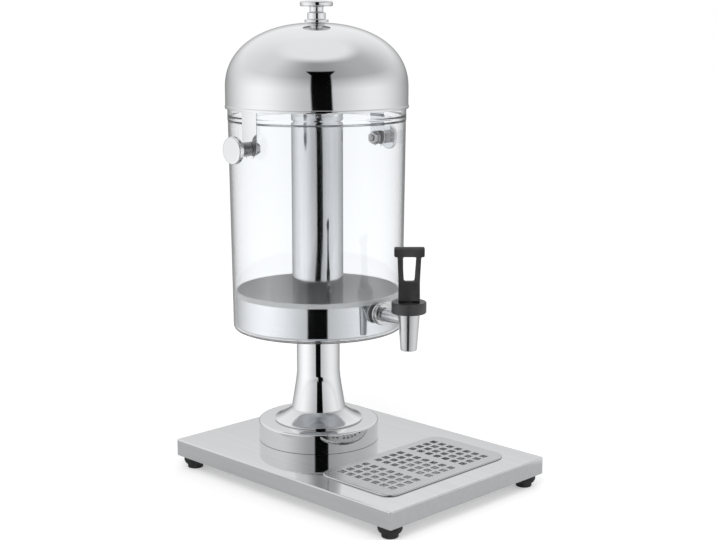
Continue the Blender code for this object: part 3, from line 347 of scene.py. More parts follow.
def round_place(tree, place):
    """Radius and height about the piece's own Z, so that a pattern on it runs round the piece."""
    parts = add_node(tree, "ShaderNodeSeparateXYZ", None, Vector=place)
    radius = maths(tree, "SQRT", maths(
        tree, "ADD",
        maths(tree, "MULTIPLY", parts.outputs[0], parts.outputs[0]),
        maths(tree, "MULTIPLY", parts.outputs[1], parts.outputs[1]),
    ))
    return add_node(tree, "ShaderNodeCombineXYZ", None, X=radius, Z=parts.outputs[2]).outputs[0]


def faces_inward(tree, place):
    """1 where a face looks toward the piece's own Z, up or down, 0 where it looks away."""
    facing = add_node(tree, "ShaderNodeTexCoord").outputs["Normal"]
    level = add_node(tree, "ShaderNodeVectorMath", {"operation": "DOT_PRODUCT"})
    feed(tree, level.inputs[0], scaled(tree, place, (1.0, 1.0, 0.0)))
    feed(tree, level.inputs[1], facing)
    rise = maths(tree, "ABSOLUTE", add_node(tree, "ShaderNodeSeparateXYZ", None, Vector=facing).outputs[2])
    return maths(tree, "MAXIMUM", maths(tree, "LESS_THAN", level.outputs["Value"], INSIDE_BELOW),
                 maths(tree, "GREATER_THAN", rise, INSIDE_RISE))


def bump(tree, height, depth, below=None):
    made = add_node(tree, "ShaderNodeBump", None, Height=height, Distance=depth, Strength=1.0)
    if below is not None:
        tree.links.new(below, made.inputs["Normal"])
    return made.outputs[0]


def blank(name):
    made = bpy.data.materials.new(name)
    made.use_nodes = True
    return made, made.node_tree, made.node_tree.nodes["Principled BSDF"]


# Finishes

def steel(name, colour, rough, spread, wave=0.00001, line=0.0000015, grain=None, streak=0.04,
          inside=None):
    """Worked steel: faint lines round the piece or along its grain, slow waves, smudges in the gloss.

    With a value for inside, a spun piece is dulled to that roughness inside and underneath, and painted
    lighter there as painted light.
    """
    made, tree, shader = blank(name)
    place = own_place(tree)
    along = round_place(tree, place) if grain is None else scaled(tree, place, grain)
    fine = noise(tree, along, scale=900.0, detail=3.0, rough=0.6)
    broad = noise(tree, along, scale=160.0)
    smudge = noise(tree, place, scale=38.0, detail=4.0, rough=0.55)
    slow = noise(tree, place, scale=14.0, detail=1.0)
    dark = tuple(channel * (1 - streak) for channel in colour)
    surface = tint(tree, broad, (*dark, 1.0), (*colour, 1.0))
    mixed = maths(tree, "MULTIPLY_ADD", smudge, SMUDGE_SHARE, maths(tree, "MULTIPLY", fine, 1 - SMUDGE_SHARE))
    dull = remap(tree, mixed, 0.3, 0.7, rough - spread, rough + spread)
    if inside is not None:
        inward = faces_inward(tree, place)
        dull = blend(tree, inward, dull, inside)
        # Painted light: the inside and underside take a lighter colour
        surface = tint(tree, inward, surface, INSIDE_PAINTED_LIGHT_COLOUR)
    feed(tree, shader.inputs["Roughness"], dull)
    feed(tree, shader.inputs["Base Color"], surface)
    feed(tree, shader.inputs["Normal"], bump(tree, fine, line, bump(tree, slow, wave)))
    shader.inputs["Metallic"].default_value = 1.0
    return made


def clear_plastic(name):
    """Clear moulded plastic with a faint cool body colour and hair-fine rubbing."""
    made, tree, shader = blank(name)
    place = own_place(tree)
    rubbed = noise(tree, scaled(tree, place, (1.0, 1.0, 0.2)), scale=70.0, detail=4.0, rough=0.6)
    slow = noise(tree, place, scale=9.0, detail=1.0)
    feed(tree, shader.inputs["Base Color"],
         tint(tree, rubbed, (0.962, 0.975, 0.99, 1.0), (0.975, 0.985, 0.995, 1.0)))
    feed(tree, shader.inputs["Roughness"], remap(tree, rubbed, 0.45, 0.75, 0.0, 0.05))
    feed(tree, shader.inputs["Normal"], bump(tree, slow, PLASTIC_WAVE))
    shader.inputs["Transmission Weight"].default_value = 1.0
    shader.inputs["IOR"].default_value = 1.49
    return made


def moulded(name, colour, light, rough, spread, grain, depth, gloss=0.5):
    """Moulded plastic or rubber: a fine grain, a slow change of gloss, paler rubbed spots."""
    made, tree, shader = blank(name)
    place = own_place(tree)
    fine = noise(tree, place, scale=grain, detail=3.0, rough=0.6)
    patch = noise(tree, place, scale=60.0, detail=3.0)
    feed(tree, shader.inputs["Base Color"],
         tint(tree, remap(tree, patch, 0.4, 0.75), (*colour, 1.0), (*light, 1.0)))
    feed(tree, shader.inputs["Roughness"], remap(tree, patch, 0.3, 0.7, rough - spread, rough + spread))
    feed(tree, shader.inputs["Normal"], bump(tree, fine, depth))
    shader.inputs["Specular IOR Level"].default_value = gloss
    return made


def clear_rubber(name):
    """Soft clear silicone: cloudy, with a dull skin."""
    made, tree, shader = blank(name)
    cloud = noise(tree, own_place(tree), scale=220.0, detail=3.0)
    feed(tree, shader.inputs["Base Color"],
         tint(tree, cloud, (0.90, 0.91, 0.91, 1.0), (0.97, 0.975, 0.975, 1.0)))
    feed(tree, shader.inputs["Roughness"], remap(tree, cloud, 0.3, 0.7, 0.3, 0.45))
    shader.inputs["Transmission Weight"].default_value = 0.25
    shader.inputs["IOR"].default_value = 1.41
    return made


def make_finishes():
    bright = (0.80, 0.808, 0.82)
    dim = (0.62, 0.625, 0.635)
    return {
        "mirror_steel": steel("mirror_steel", bright, rough=0.045, spread=0.02),
        "satin_steel": steel("satin_steel", bright, rough=0.07, spread=0.03, line=0.000003,
                             grain=ALONG_Y, streak=0.12),
        "grille_steel": steel("grille_steel", dim, rough=0.26, spread=0.05, grain=ALONG_X),
        "tap_steel": steel("tap_steel", dim, rough=0.20, spread=0.05),
        # Brushed steel is painted lighter inside and underneath, as painted light
        "brushed_steel": steel("brushed_steel", bright, rough=0.06, spread=0.02, line=0.000003,
                               wave=0.000004, streak=0.08, inside=0.36),
        "drawn_steel": steel("drawn_steel", bright, rough=0.09, spread=0.02, line=0.000006,
                             wave=0.000003, grain=ALONG_Z, streak=0.16),
        "screw_steel": steel("screw_steel", (0.50, 0.50, 0.51), rough=0.34, spread=0.08, line=0.00001),
        "dark_thread": steel("dark_thread", (0.36, 0.36, 0.37), rough=0.30, spread=0.08, line=0.00001),
        "clear_plastic": clear_plastic("clear_plastic"),
        "black_plastic": moulded("black_plastic", (0.026, 0.026, 0.027), (0.05, 0.05, 0.052), rough=0.34,
                                 spread=0.06, grain=1500.0, depth=0.00002),
        "black_rubber": moulded("black_rubber", (0.02, 0.02, 0.02), (0.045, 0.045, 0.045), rough=0.7,
                                spread=0.1, grain=1200.0, depth=0.00006, gloss=0.3),
        "silicone": moulded("silicone", (0.74, 0.76, 0.75), (0.82, 0.83, 0.82), rough=0.5, spread=0.08,
                            grain=700.0, depth=0.00002, gloss=0.4),
        "clear_silicone": clear_rubber("clear_silicone"),
    }


# Shape helpers

def soft_line(corners, closed=True, steps=EASE_STEPS):
    """Points of an outline whose corners, (x, y, ease), are rounded over their ease."""
    points = []
    count = len(corners)
    for index, (x, y, ease) in enumerate(corners):
        here = Vector((x, y))
        at_end = not closed and index in (0, count - 1)
        if at_end or ease == 0:
            points.append((x, y))
            continue
        back = (Vector(corners[index - 1][:2]) - here).normalized() * ease
        ahead = (Vector(corners[(index + 1) % count][:2]) - here).normalized() * ease
        for step in range(steps + 1):
            share = step / steps
            point = here + back * (1 - share) ** 2 + ahead * share**2
            points.append((point.x, point.y))
    return points


def sheet_inside(line, thickness):
    """The far side of a sheet whose near side is line; it lies to the line's right."""
    inner = []
    for index, point in enumerate(line):
        before = Vector(line[max(index - 1, 0)])
        after = Vector(line[min(index + 1, len(line) - 1)])
        along = (after - before).normalized()
        inner.append((point[0] + along.y * thickness, point[1] - along.x * thickness))
    return inner[::-1]


def add_shape(name, bm, finish):
    bmesh.ops.remove_doubles(bm, verts=bm.verts, dist=WELD_DISTANCE)
    bmesh.ops.recalc_face_normals(bm, faces=bm.faces)
    mesh = bpy.data.meshes.new(name)
    bm.to_mesh(mesh)
    bm.free()
    mesh.materials.append(finishes[finish])
    shape = bpy.data.objects.new(name, mesh)
    bpy.context.scene.collection.objects.link(shape)
    return shape


def lathe(name, outline, finish, sides=ROUND_SIDES):
    """Spin (radius, height) points round +Z."""
    bm = bmesh.new()
    rings = []
    for radius, height in outline:
        if radius == 0:
            rings.append([bm.verts.new((0, 0, height))])
            continue
        ring = []
        for side in range(sides):
            turn = 2 * math.pi * side / sides
            ring.append(bm.verts.new((radius * math.cos(turn), radius * math.sin(turn), height)))
        rings.append(ring)
    pairs = list(zip(rings, rings[1:]))
    if outline[0][0] and outline[-1][0]:
        pairs.append((rings[-1], rings[0]))
    for lower, upper in pairs:
        for side in range(sides):
            corners = (
                lower[side % len(lower)], lower[(side + 1) % len(lower)],
                upper[(side + 1) % len(upper)], upper[side % len(upper)],
            )
            bm.faces.new(list(dict.fromkeys(corners)))
    return add_shape(name, bm, finish)


def bar(name, radius, length, finish):
    """A round cutter along +Z from the origin."""
    return lathe(name, [(0, 0), (radius, 0), (radius, length), (0, length)], finish, SMALL_SIDES)


def raise_outline(bm, outline, low, high):
    """Add a solid that stands on a level outline."""
    face = bm.faces.new([bm.verts.new((x, y, low)) for x, y in outline])
    grown = bmesh.ops.extrude_face_region(bm, geom=[face])
    moved = [item for item in grown["geom"] if isinstance(item, bmesh.types.BMVert)]
    bmesh.ops.translate(bm, verts=moved, vec=(0, 0, high - low))


def prism(name, outline, low, high, finish):
    bm = bmesh.new()
    raise_outline(bm, outline, low, high)
    return add_shape(name, bm, finish)


def stacked(name, rings, finish):
    """Join a run of level outlines of equal count, with a cap on the first and the last."""
    bm = bmesh.new()
    loops = [[bm.verts.new((x, y, height)) for x, y in outline] for outline, height in rings]
    for lower, upper in zip(loops, loops[1:]):
        for index, corner in enumerate(lower):
            bm.faces.new((corner, lower[index - 1], upper[index - 1], upper[index]))
    bm.faces.new(loops[0])
    bm.faces.new(loops[-1])
    return add_shape(name, bm, finish)


def rounded_rectangle(width, depth, corner, steps=CORNER_STEPS):
    points = []
    for turn, (side_x, side_y) in enumerate(((1, 1), (-1, 1), (-1, -1), (1, -1))):
        centre_x = side_x * (width / 2 - corner)
        centre_y = side_y * (depth / 2 - corner)
        for step in range(steps + 1):
            angle = (turn + step / steps) * math.pi / 2
            points.append((centre_x + corner * math.cos(angle), centre_y + corner * math.sin(angle)))
    return points


def inset_outline(width, depth, corner, inset, height, steps=CORNER_STEPS):
    """A rounded rectangle drawn in by inset, and the height that it lies at."""
    rounded = max(corner - inset, corner / 4)
    return rounded_rectangle(width - 2 * inset, depth - 2 * inset, rounded, steps), height


def put(shape, x=0.0, y=0.0, z=0.0, turn_x=0.0, turn_y=0.0):
    shape.location = (x, y, z)
    shape.rotation_euler = (turn_x, turn_y, 0)
    return shape


def carve(target, tool, operation="DIFFERENCE"):
    """Cut or trim target with tool for good; the tool goes."""
    step = target.modifiers.new("carve", "BOOLEAN")
    step.operation = operation
    step.solver = "EXACT"
    step.object = tool
    bpy.context.view_layer.update()
    shaped = target.evaluated_get(bpy.context.evaluated_depsgraph_get())
    rough_mesh = target.data
    target.data = bpy.data.meshes.new_from_object(shaped)
    target.modifiers.clear()
    bpy.data.meshes.remove(rough_mesh)
    bpy.data.objects.remove(tool, do_unlink=True)


def bevel(shape, width, segments=2):
    step = shape.modifiers.new("edges", "BEVEL")
    step.width = width
    step.segments = segments
    step.limit_method = "ANGLE"
    step.angle_limit = SHARP_ANGLE
    step.harden_normals = False
    return shape


def finish_shape(shape, body, slot, *nodes):
    """Smooth a placed shape, let it ride on its body and stand for its CAD nodes."""
    shape.data.shade_smooth()
    shape.data.set_sharp_from_angle(angle=SHARP_ANGLE)
    step = shape.modifiers.new("normals", "WEIGHTED_NORMAL")
    step.keep_sharp = True
    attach(shape, body)
    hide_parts(*nodes)


def refined(node, finish, width, segments=2):
    """A copy of a CAD node with eased edges, for small parts whose form is right already."""
    source = frame["nodes"][node]
    bm = bmesh.new()
    bm.from_mesh(source.data)
    bmesh.ops.remove_doubles(bm, verts=bm.verts, dist=WELD_DISTANCE)
    bmesh.ops.dissolve_limit(bm, angle_limit=FLAT_ANGLE, verts=bm.verts, edges=bm.edges)
    shape = add_shape("fine_" + node, bm, finish)
    return bevel(shape, width, segments)


def span(node):
    """Middle, half width, lowest and highest point of a node."""
    low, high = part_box(node)
    return (low + high) / 2, (high.x - low.x) / 2, low.z, high.z


# Base plate, feet, tray and grille

def make_plate():
    low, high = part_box("base_plate")
    width = high.x - low.x
    depth = high.y - low.y
    foot = low.z
    top = high.z

    def level(inset, height):
        return inset_outline(width, depth, PLATE_CORNER, inset, height)

    rings = [level(0, foot), level(0, top - PLATE_EDGE)]
    for step in range(1, EASE_STEPS + 1):
        turn = math.pi / 2 * step / EASE_STEPS
        rings.append(level(PLATE_EDGE * (1 - math.cos(turn)), top - PLATE_EDGE * (1 - math.sin(turn))))
    plate = stacked("plate_sheet", rings, "satin_steel")

    def tool(name, tool_width, tool_depth, corner, tool_low, tool_high, y=0.0):
        return put(prism(name, rounded_rectangle(tool_width, tool_depth, corner), tool_low, tool_high,
                         "satin_steel"), y=y)

    under = top - PLATE_SHEET
    carve(plate, tool("hollow", width - 2 * PLATE_SHEET, depth - 2 * PLATE_SHEET, PLATE_CORNER,
                      foot + PLATE_SHEET, under))
    carve(plate, tool("underside", width - 2 * PLATE_RETURN, depth - 2 * PLATE_RETURN, PLATE_CORNER,
                      foot - OVERRUN, foot + PLATE_SHEET + OVERRUN))
    grille_low, grille_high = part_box("drip_grille")
    carve(plate, tool("mouth", grille_high.x - grille_low.x - 2 * OPENING_INSET,
                      grille_high.y - grille_low.y - 2 * OPENING_INSET, GRILLE_CORNER - OPENING_INSET,
                      under - OVERRUN, top + OVERRUN, (grille_low.y + grille_high.y) / 2))
    axis = span("tie_rod")[0]
    through = PLATE_SHEET + 2 * OVERRUN
    rod_way = bar("rod_way", ROD_HOLE, through, "satin_steel")
    carve(plate, put(rod_way, axis.x, axis.y, under - OVERRUN))
    for corner in FOOT_CORNERS:
        spot = span("foot_" + corner)[0]
        hole = bar("hole", FOOT_HOLE, through, "satin_steel")
        carve(plate, put(hole, spot.x, spot.y, foot - OVERRUN))
    finish_shape(plate, "stand", "satin_steel", "base_plate")


def make_feet():
    for corner in FOOT_CORNERS:
        node = "foot_" + corner
        middle, radius, foot, top = span(node)
        shoulder = top - FOOT_HEAD_HEIGHT
        section = soft_line([
            (FOOT_HOLE, top, 0),
            (FOOT_HOLE, FOOT_RECESS_DEPTH, FOOT_HOLE_EASE),
            (FOOT_RECESS_RADIUS, FOOT_RECESS_DEPTH, FOOT_RECESS_EASE),
            (FOOT_RECESS_RADIUS, foot, FOOT_MOUTH_EASE),
            (FOOT_PAD_RADIUS, foot, FOOT_RIM_EASE),
            (FOOT_PAD_RADIUS + FOOT_PAD_FLARE, shoulder, FOOT_CREASE),
            (radius - FOOT_HEAD_SLOPE, shoulder, FOOT_HEAD_ROUND),
            (radius, shoulder + FOOT_HEAD_RISE, FOOT_HEAD_ROUND),
            (radius, top, FOOT_RIM_EASE),
        ], closed=False)
        piece = lathe("fine_" + node, section, "black_rubber", SMALL_SIDES)
        finish_shape(put(piece, middle.x, middle.y), "stand", "black_rubber", node)


def make_tray():
    low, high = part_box("drip_tray")
    middle = (low + high) / 2
    grille_low, grille_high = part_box("drip_grille")
    width = grille_high.x - grille_low.x
    depth = grille_high.y - grille_low.y
    flange_inset = (width - (high.x - low.x)) / 2

    def level(inset, height):
        return inset_outline(width, depth, GRILLE_CORNER, inset, height)

    mouth = flange_inset + TRAY_MOUTH_INSET
    floor_inset = mouth + TRAY_DRAFT
    outer = [level(floor_inset + TRAY_ROUND, low.z)]
    inner = [level(floor_inset + TRAY_ROUND, low.z + TRAY_SHEET)]
    for step in range(1, EASE_STEPS + 1):
        turn = math.pi / 2 * step / EASE_STEPS
        inset = floor_inset + TRAY_ROUND * (1 - math.sin(turn))
        height = TRAY_ROUND * (1 - math.cos(turn))
        outer.append(level(inset, low.z + height))
        inner.append(level(inset + TRAY_SHEET * math.sin(turn), low.z + TRAY_SHEET + height))
    outer += [level(mouth, high.z - TRAY_SHEET), level(flange_inset, high.z - TRAY_SHEET)]
    outer += [level(flange_inset, high.z), level(mouth + TRAY_SHEET, high.z)]
    tray = stacked("tray_pan", outer + inner[::-1], "brushed_steel")
    finish_shape(put(tray, middle.x, middle.y), "tray", "brushed_steel", "drip_tray")


def make_grille():
    low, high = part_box("drip_grille")
    middle = (low + high) / 2
    width = high.x - low.x
    depth = high.y - low.y

    def level(inset, height):
        return inset_outline(width, depth, GRILLE_CORNER, inset, height, GRILLE_CORNER_STEPS)

    rings = [level(0, low.z), level(0, high.z - GRILLE_ROUND)]
    for step in range(1, EASE_STEPS + 1):
        turn = math.pi / 2 * step / EASE_STEPS
        rings.append(level(GRILLE_ROUND * (1 - math.cos(turn)), high.z - GRILLE_ROUND * (1 - math.sin(turn))))
    rings = rings[::-1] + [level(GRILLE_SHEET, low.z), level(GRILLE_SHEET, high.z - GRILLE_ROUND),
                           level(GRILLE_ROUND, high.z - GRILLE_SHEET)]
    grille = put(stacked("grille_sheet", rings, "grille_steel"), middle.x, middle.y)
    bm = bmesh.new()
    hole = rounded_rectangle(GRILLE_HOLE, GRILLE_HOLE, GRILLE_HOLE_CORNER, GRILLE_HOLE_STEPS)
    for group in range(GRILLE_GROUPS):
        for column in range(GRILLE_COLUMNS):
            for row in range(GRILLE_ROWS):
                x = ((group - (GRILLE_GROUPS - 1) / 2) * GRILLE_GROUP_PITCH
                     + (column - (GRILLE_COLUMNS - 1) / 2) * GRILLE_COLUMN_PITCH)
                y = (row - (GRILLE_ROWS - 1) / 2) * GRILLE_ROW_PITCH
                post = [(x + across, y + along) for across, along in hole]
                raise_outline(bm, post, high.z - OVERRUN, high.z + OVERRUN)
    carve(grille, put(add_shape("posts", bm, "grille_steel"), middle.x, middle.y))
    bevel(grille, GRILLE_HOLE_LIP)
    finish_shape(grille, "grille", "satin_steel", "drip_grille")


# Pedestal

def make_drum():
    middle, radius, foot, top = span("pedestal_drum")
    outer = soft_line([(ROD_HOLE, top, 0), (radius, top, DRUM_ROUND), (radius, foot, 0)], closed=False,
                      steps=ROUND_STEPS)
    section = outer + sheet_inside(outer, PLATE_SHEET)
    finish_shape(put(lathe("drum", section, "mirror_steel"), middle.x, middle.y), "stand",
                 "mirror_steel", "pedestal_drum")


def column_line(skirt_radius, foot):
    """The column's outer line from the drum up: skirt edge, sloping skirt and flare, ending where the
    straight tube starts.
    """
    skirt_foot = foot + COLUMN_SKIRT_EDGE
    skirt_top = skirt_foot + COLUMN_SKIRT_RISE
    reach = skirt_radius - COLUMN_FLARE_RADIUS
    line = [(skirt_radius, foot)]
    for step in range(FLARE_STEPS + 1):
        turn = math.pi / 2 * step / FLARE_STEPS
        line.append((skirt_radius - reach * math.sin(turn) ** (2 / COLUMN_SKIRT_POWER),
                     skirt_foot + COLUMN_SKIRT_RISE * (1 - abs(math.cos(turn)) ** (2 / COLUMN_SKIRT_POWER))))
    for step in range(1, FLARE_STEPS + 1):
        share = step / FLARE_STEPS
        swell = (COLUMN_FLARE_RADIUS - COLUMN_RADIUS) * (1 - share) ** COLUMN_FLARE_POWER
        line.append((COLUMN_RADIUS + swell, skirt_top + COLUMN_FLARE_RISE * share))
    return line


def make_column():
    middle, radius, foot, top = span("pedestal_column")
    outer = column_line(radius, foot)
    outer.append((COLUMN_RADIUS, top))
    inner = sheet_inside(outer, -PLATE_SHEET)
    section = outer + [(ROD_HOLE, top), (ROD_HOLE, top - 2 * PLATE_SHEET),
                       (COLUMN_RADIUS - PLATE_SHEET, top - 2 * PLATE_SHEET)] + inner[1:]
    finish_shape(put(lathe("column", section, "mirror_steel"), middle.x, middle.y), "stand",
                 "mirror_steel", "pedestal_column")


# Tank, pan and ice tube

def make_vessel():
    middle, radius, foot, top = span("tank_vessel")
    collar_foot = top - COLLAR_HEIGHT
    floor = foot + VESSEL_FLOOR
    inside = VESSEL_NECK_RADIUS - VESSEL_WALL
    section = soft_line([
        (ROD_HOLE, floor, 0),
        (ROD_HOLE, foot, 0),
        (VESSEL_FOOT_RADIUS, foot, VESSEL_ROUND),
        (VESSEL_NECK_RADIUS, collar_foot, 0),
        (radius, collar_foot + COLLAR_STEP, COLLAR_EASE),
        (radius, top, VESSEL_LIP),
        (inside, top, VESSEL_LIP),
        (inside, collar_foot + RIDGE_HEIGHT, RIDGE_EASE),
        (inside - RIDGE_DEPTH, collar_foot + RIDGE_HEIGHT * RIDGE_TOP_SHARE, RIDGE_ROUND),
        (inside - RIDGE_DEPTH, collar_foot + RIDGE_HEIGHT * RIDGE_FOOT_SHARE, RIDGE_ROUND),
        (inside, collar_foot - RIDGE_RUN_OUT, RIDGE_EASE),
        (VESSEL_FOOT_RADIUS - VESSEL_WALL, floor, VESSEL_ROUND),
    ], closed=False)
    vessel = put(lathe("vessel", section, "clear_plastic"), middle.x, middle.y)
    shank_z = span("tap_nut")[0].z
    way = bar("shank_way", SHANK_HOLE, radius + OVERRUN, "clear_plastic")
    carve(vessel, put(way, middle.x, middle.y, shank_z, turn_x=math.pi / 2))
    clamp_z = span("clamp_screw_left")[0].z
    for side in (-1, 1):
        way = bar("clamp_way", CLAMP_HOLE, radius + OVERRUN, "clear_plastic")
        carve(vessel, put(way, middle.x, middle.y, clamp_z, turn_y=side * math.pi / 2))
    finish_shape(vessel, "stand", "clear_plastic", "tank_vessel")


def make_pan():
    middle, radius, foot, top = span("tank_pan")
    outer = soft_line([(ROD_HOLE, foot, 0), (radius, foot, PAN_ROUND), (radius, top, 0)], closed=False,
                      steps=ROUND_STEPS)
    section = outer + sheet_inside(outer, -PAN_SHEET)
    pan = put(lathe("pan", section, "brushed_steel"), middle.x, middle.y)
    way = bar("pan_way", SHANK_HOLE, radius + OVERRUN, "brushed_steel")
    carve(pan, put(way, middle.x, middle.y, span("tap_nut")[0].z, turn_x=math.pi / 2))
    finish_shape(pan, "stand", "brushed_steel", "tank_pan")
    for node, inner in (("pan_seal", radius + GAP), ("ice_tube_gasket", ROD_HOLE)):
        middle, outer_radius, low, high = span(node)
        ease = min(high - low, outer_radius - inner) / 3
        ring = lathe("fine_" + node, soft_line([
            (inner, low, ease), (outer_radius, low, ease), (outer_radius, high, ease), (inner, high, ease),
        ], steps=SEAL_STEPS), "clear_silicone")
        finish_shape(put(ring, middle.x, middle.y), "stand", "silicone", node)


def make_ice_tube():
    middle, radius, foot, top = span("ice_tube")
    inner = radius - TUBE_WALL
    plug = foot + TUBE_PLUG
    section = soft_line([
        (0, plug, 0),
        (inner, plug, TUBE_FLOOR_ROUND),
        (inner, top, TUBE_WALL / 3),
        (radius, top, TUBE_WALL / 3),
        (radius, foot, TUBE_ROUND),
        (ROD_HOLE, foot, 0),
        (ROD_HOLE, plug - OVERRUN, 0),
        (0, plug - OVERRUN, 0),
    ], closed=False)
    finish_shape(put(lathe("tube", section, "drawn_steel"), middle.x, middle.y), "stand",
                 "brushed_steel", "ice_tube")


# Lid

def make_dome():
    middle, rim_radius, foot = span("lid_wall")[:3]
    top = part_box("lid_dome")[1].z
    radius = rim_radius - DOME_BEAD
    spring = foot + DOME_WALL
    line = []
    for step in range(DOME_STEPS + 1):
        turn = math.pi / 2 * step / DOME_STEPS
        reach = radius * math.sin(turn) ** (2 / DOME_POWER)
        height = spring + (top - spring) * abs(math.cos(turn)) ** (2 / DOME_POWER)
        line.append((max(reach, DOME_HOLE), height))
    line.append((radius, foot + DOME_BEAD_HEIGHT))
    inner = sheet_inside(line, DOME_SHEET)
    bead = []
    for step in range(1, 2 * EASE_STEPS + 1):
        turn = math.pi / 2 - math.pi * step / (2 * EASE_STEPS)
        bead.append((radius + DOME_BEAD * math.cos(turn),
                     foot + DOME_BEAD_HEIGHT / 2 * (1 + math.sin(turn))))
    section = line + bead + [(radius - DOME_SHEET, foot)] + inner
    finish_shape(put(lathe("dome", section, "mirror_steel"), middle.x, middle.y), "lid",
                 "mirror_steel", "lid_dome", "lid_wall")


def make_knob():
    low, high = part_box("lid_knob")
    middle = (low + high) / 2
    foot = low.z
    top = high.z
    flange_top = foot + KNOB_FLANGE_HEIGHT
    body_top = flange_top + KNOB_BODY_HEIGHT
    disc_foot = body_top + KNOB_NECK_HEIGHT
    section = soft_line([
        (0, foot, 0),
        (KNOB_FLANGE_RADIUS, foot, KNOB_FOOT_EASE),
        (KNOB_FLANGE_RADIUS, flange_top, KNOB_ROUND),
        (KNOB_BODY_RADIUS, flange_top, KNOB_CREASE),
        (KNOB_BODY_RADIUS, body_top, KNOB_ROUND),
        (KNOB_NECK_RADIUS, body_top, KNOB_NECK_CREASE),
        (KNOB_NECK_RADIUS, disc_foot, KNOB_NECK_ROUND),
        (KNOB_DISC_RADIUS, disc_foot, KNOB_DISC_FOOT_ROUND),
        (KNOB_DISC_RADIUS, top - KNOB_CROWN, KNOB_DISC_TOP_ROUND),
        (KNOB_DISC_RADIUS / 2, top - KNOB_CROWN / 3, KNOB_CROWN_ROUND),
        (0, top, 0),
    ], closed=False, steps=KNOB_STEPS)
    finish_shape(put(lathe("knob", section, "mirror_steel"), middle.x, middle.y), "lid",
                 "mirror_steel", "lid_knob")


# Lid clamps

def make_strap(side_name, side):
    node = "lid_strap_" + side_name
    low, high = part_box(node)
    axis, radius = span("tank_vessel")[:2]
    inner = radius + GAP
    outer = inner + STRAP_SHEET
    half = (high.y - low.y) / 2
    bottom = low.z
    height = bottom + half
    spread = math.asin(min(1.0, (half + OVERRUN) / inner))
    bm = bmesh.new()
    centre_turn = 0 if side > 0 else math.pi
    loops = []
    section = ((inner, bottom - OVERRUN), (outer, bottom - OVERRUN), (outer, high.z), (inner, high.z))
    for reach, level in section:
        loop = []
        for step in range(STRAP_STEPS + 1):
            turn = centre_turn + spread * (2 * step / STRAP_STEPS - 1)
            loop.append(bm.verts.new((reach * math.cos(turn), reach * math.sin(turn), level)))
        loops.append(loop)
    for index, loop in enumerate(loops):
        other = loops[(index + 1) % len(loops)]
        for step in range(STRAP_STEPS):
            bm.faces.new((loop[step], loop[step + 1], other[step + 1], other[step]))
    bm.faces.new([loop[0] for loop in loops])
    bm.faces.new([loop[-1] for loop in loops])
    strap = put(add_shape("strap_" + side_name, bm, "mirror_steel"), axis.x, axis.y)
    ends = [math.pi * step / STRAP_END_STEPS for step in range(STRAP_END_STEPS + 1)]
    blank_line = [(-half * math.cos(turn), -half * math.sin(turn)) for turn in ends]
    blank_line += [(half, high.z + OVERRUN - height), (-half, high.z + OVERRUN - height)]
    notch = [(CLAMP_HOLE * math.cos(turn), CLAMP_HOLE * math.sin(turn)) for turn in ends]
    notch += [(-CLAMP_HOLE, -half - OVERRUN), (CLAMP_HOLE, -half - OVERRUN)]
    for name, outline, operation in (("blank", blank_line, "INTERSECT"), ("notch", notch, "DIFFERENCE")):
        tool = prism(name, outline, inner - STRAP_TOOL_DEPTH, outer + OVERRUN, "mirror_steel")
        tool.matrix_world = Matrix((
            (0, 0, side, axis.x), (side, 0, 0, axis.y), (0, 1, 0, height), (0, 0, 0, 1),
        ))
        carve(strap, tool, operation)
    bevel(strap, STRAP_EDGE)
    finish_shape(strap, "lid", "mirror_steel", node)


def make_clamp(side_name, side):
    """The thumb screw: a light round head on a dark, coarsely threaded neck."""
    node = "clamp_screw_" + side_name
    low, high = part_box(node)
    middle = (low + high) / 2
    disc_radius = (high.y - low.y) / 2
    length = high.x - low.x
    tail_x = high.x if side < 0 else low.x
    disc_foot = length - CLAMP_DISC_LENGTH
    strap_low, strap_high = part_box("lid_strap_" + side_name)
    strap_face = strap_high.x if side > 0 else -strap_low.x
    neck_foot = strap_face + GAP - abs(tail_x)
    turn_y = side * math.pi / 2
    head = soft_line([
        (0, disc_foot, 0),
        (disc_radius, disc_foot, CLAMP_DISC_BACK_ROUND),
        (disc_radius, length, CLAMP_DISC_ROUND),
        (0, length, 0),
    ], closed=False, steps=ROUND_STEPS)
    piece = lathe("clamp_head_" + side_name, head, "mirror_steel", SMALL_SIDES)
    put(piece, tail_x, middle.y, middle.z, turn_y=turn_y)
    finish_shape(piece, "clamp_" + side_name, "mirror_steel", node)
    thread_root = CLAMP_HUB_RADIUS - THREAD_DEPTH
    neck = [(0, 0), (CLAMP_SHANK_RADIUS - CLAMP_SHANK_TIP, 0), (CLAMP_SHANK_RADIUS, CLAMP_SHANK_TIP)]
    neck += [(CLAMP_SHANK_RADIUS, neck_foot), (thread_root, neck_foot)]
    turns = int((disc_foot - neck_foot) / THREAD_PITCH)
    for index in range(turns):
        start = neck_foot + index * THREAD_PITCH
        neck += [(CLAMP_HUB_RADIUS - below, start + THREAD_PITCH * share) for share, below in THREAD_FORM]
    neck += [(thread_root, disc_foot + GAP), (0, disc_foot + GAP)]
    screw = lathe("clamp_neck_" + side_name, neck, "dark_thread", SMALL_SIDES)
    put(screw, tail_x, middle.y, middle.z, turn_y=turn_y)
    finish_shape(screw, "clamp_" + side_name, "mirror_steel", node)


# Tap

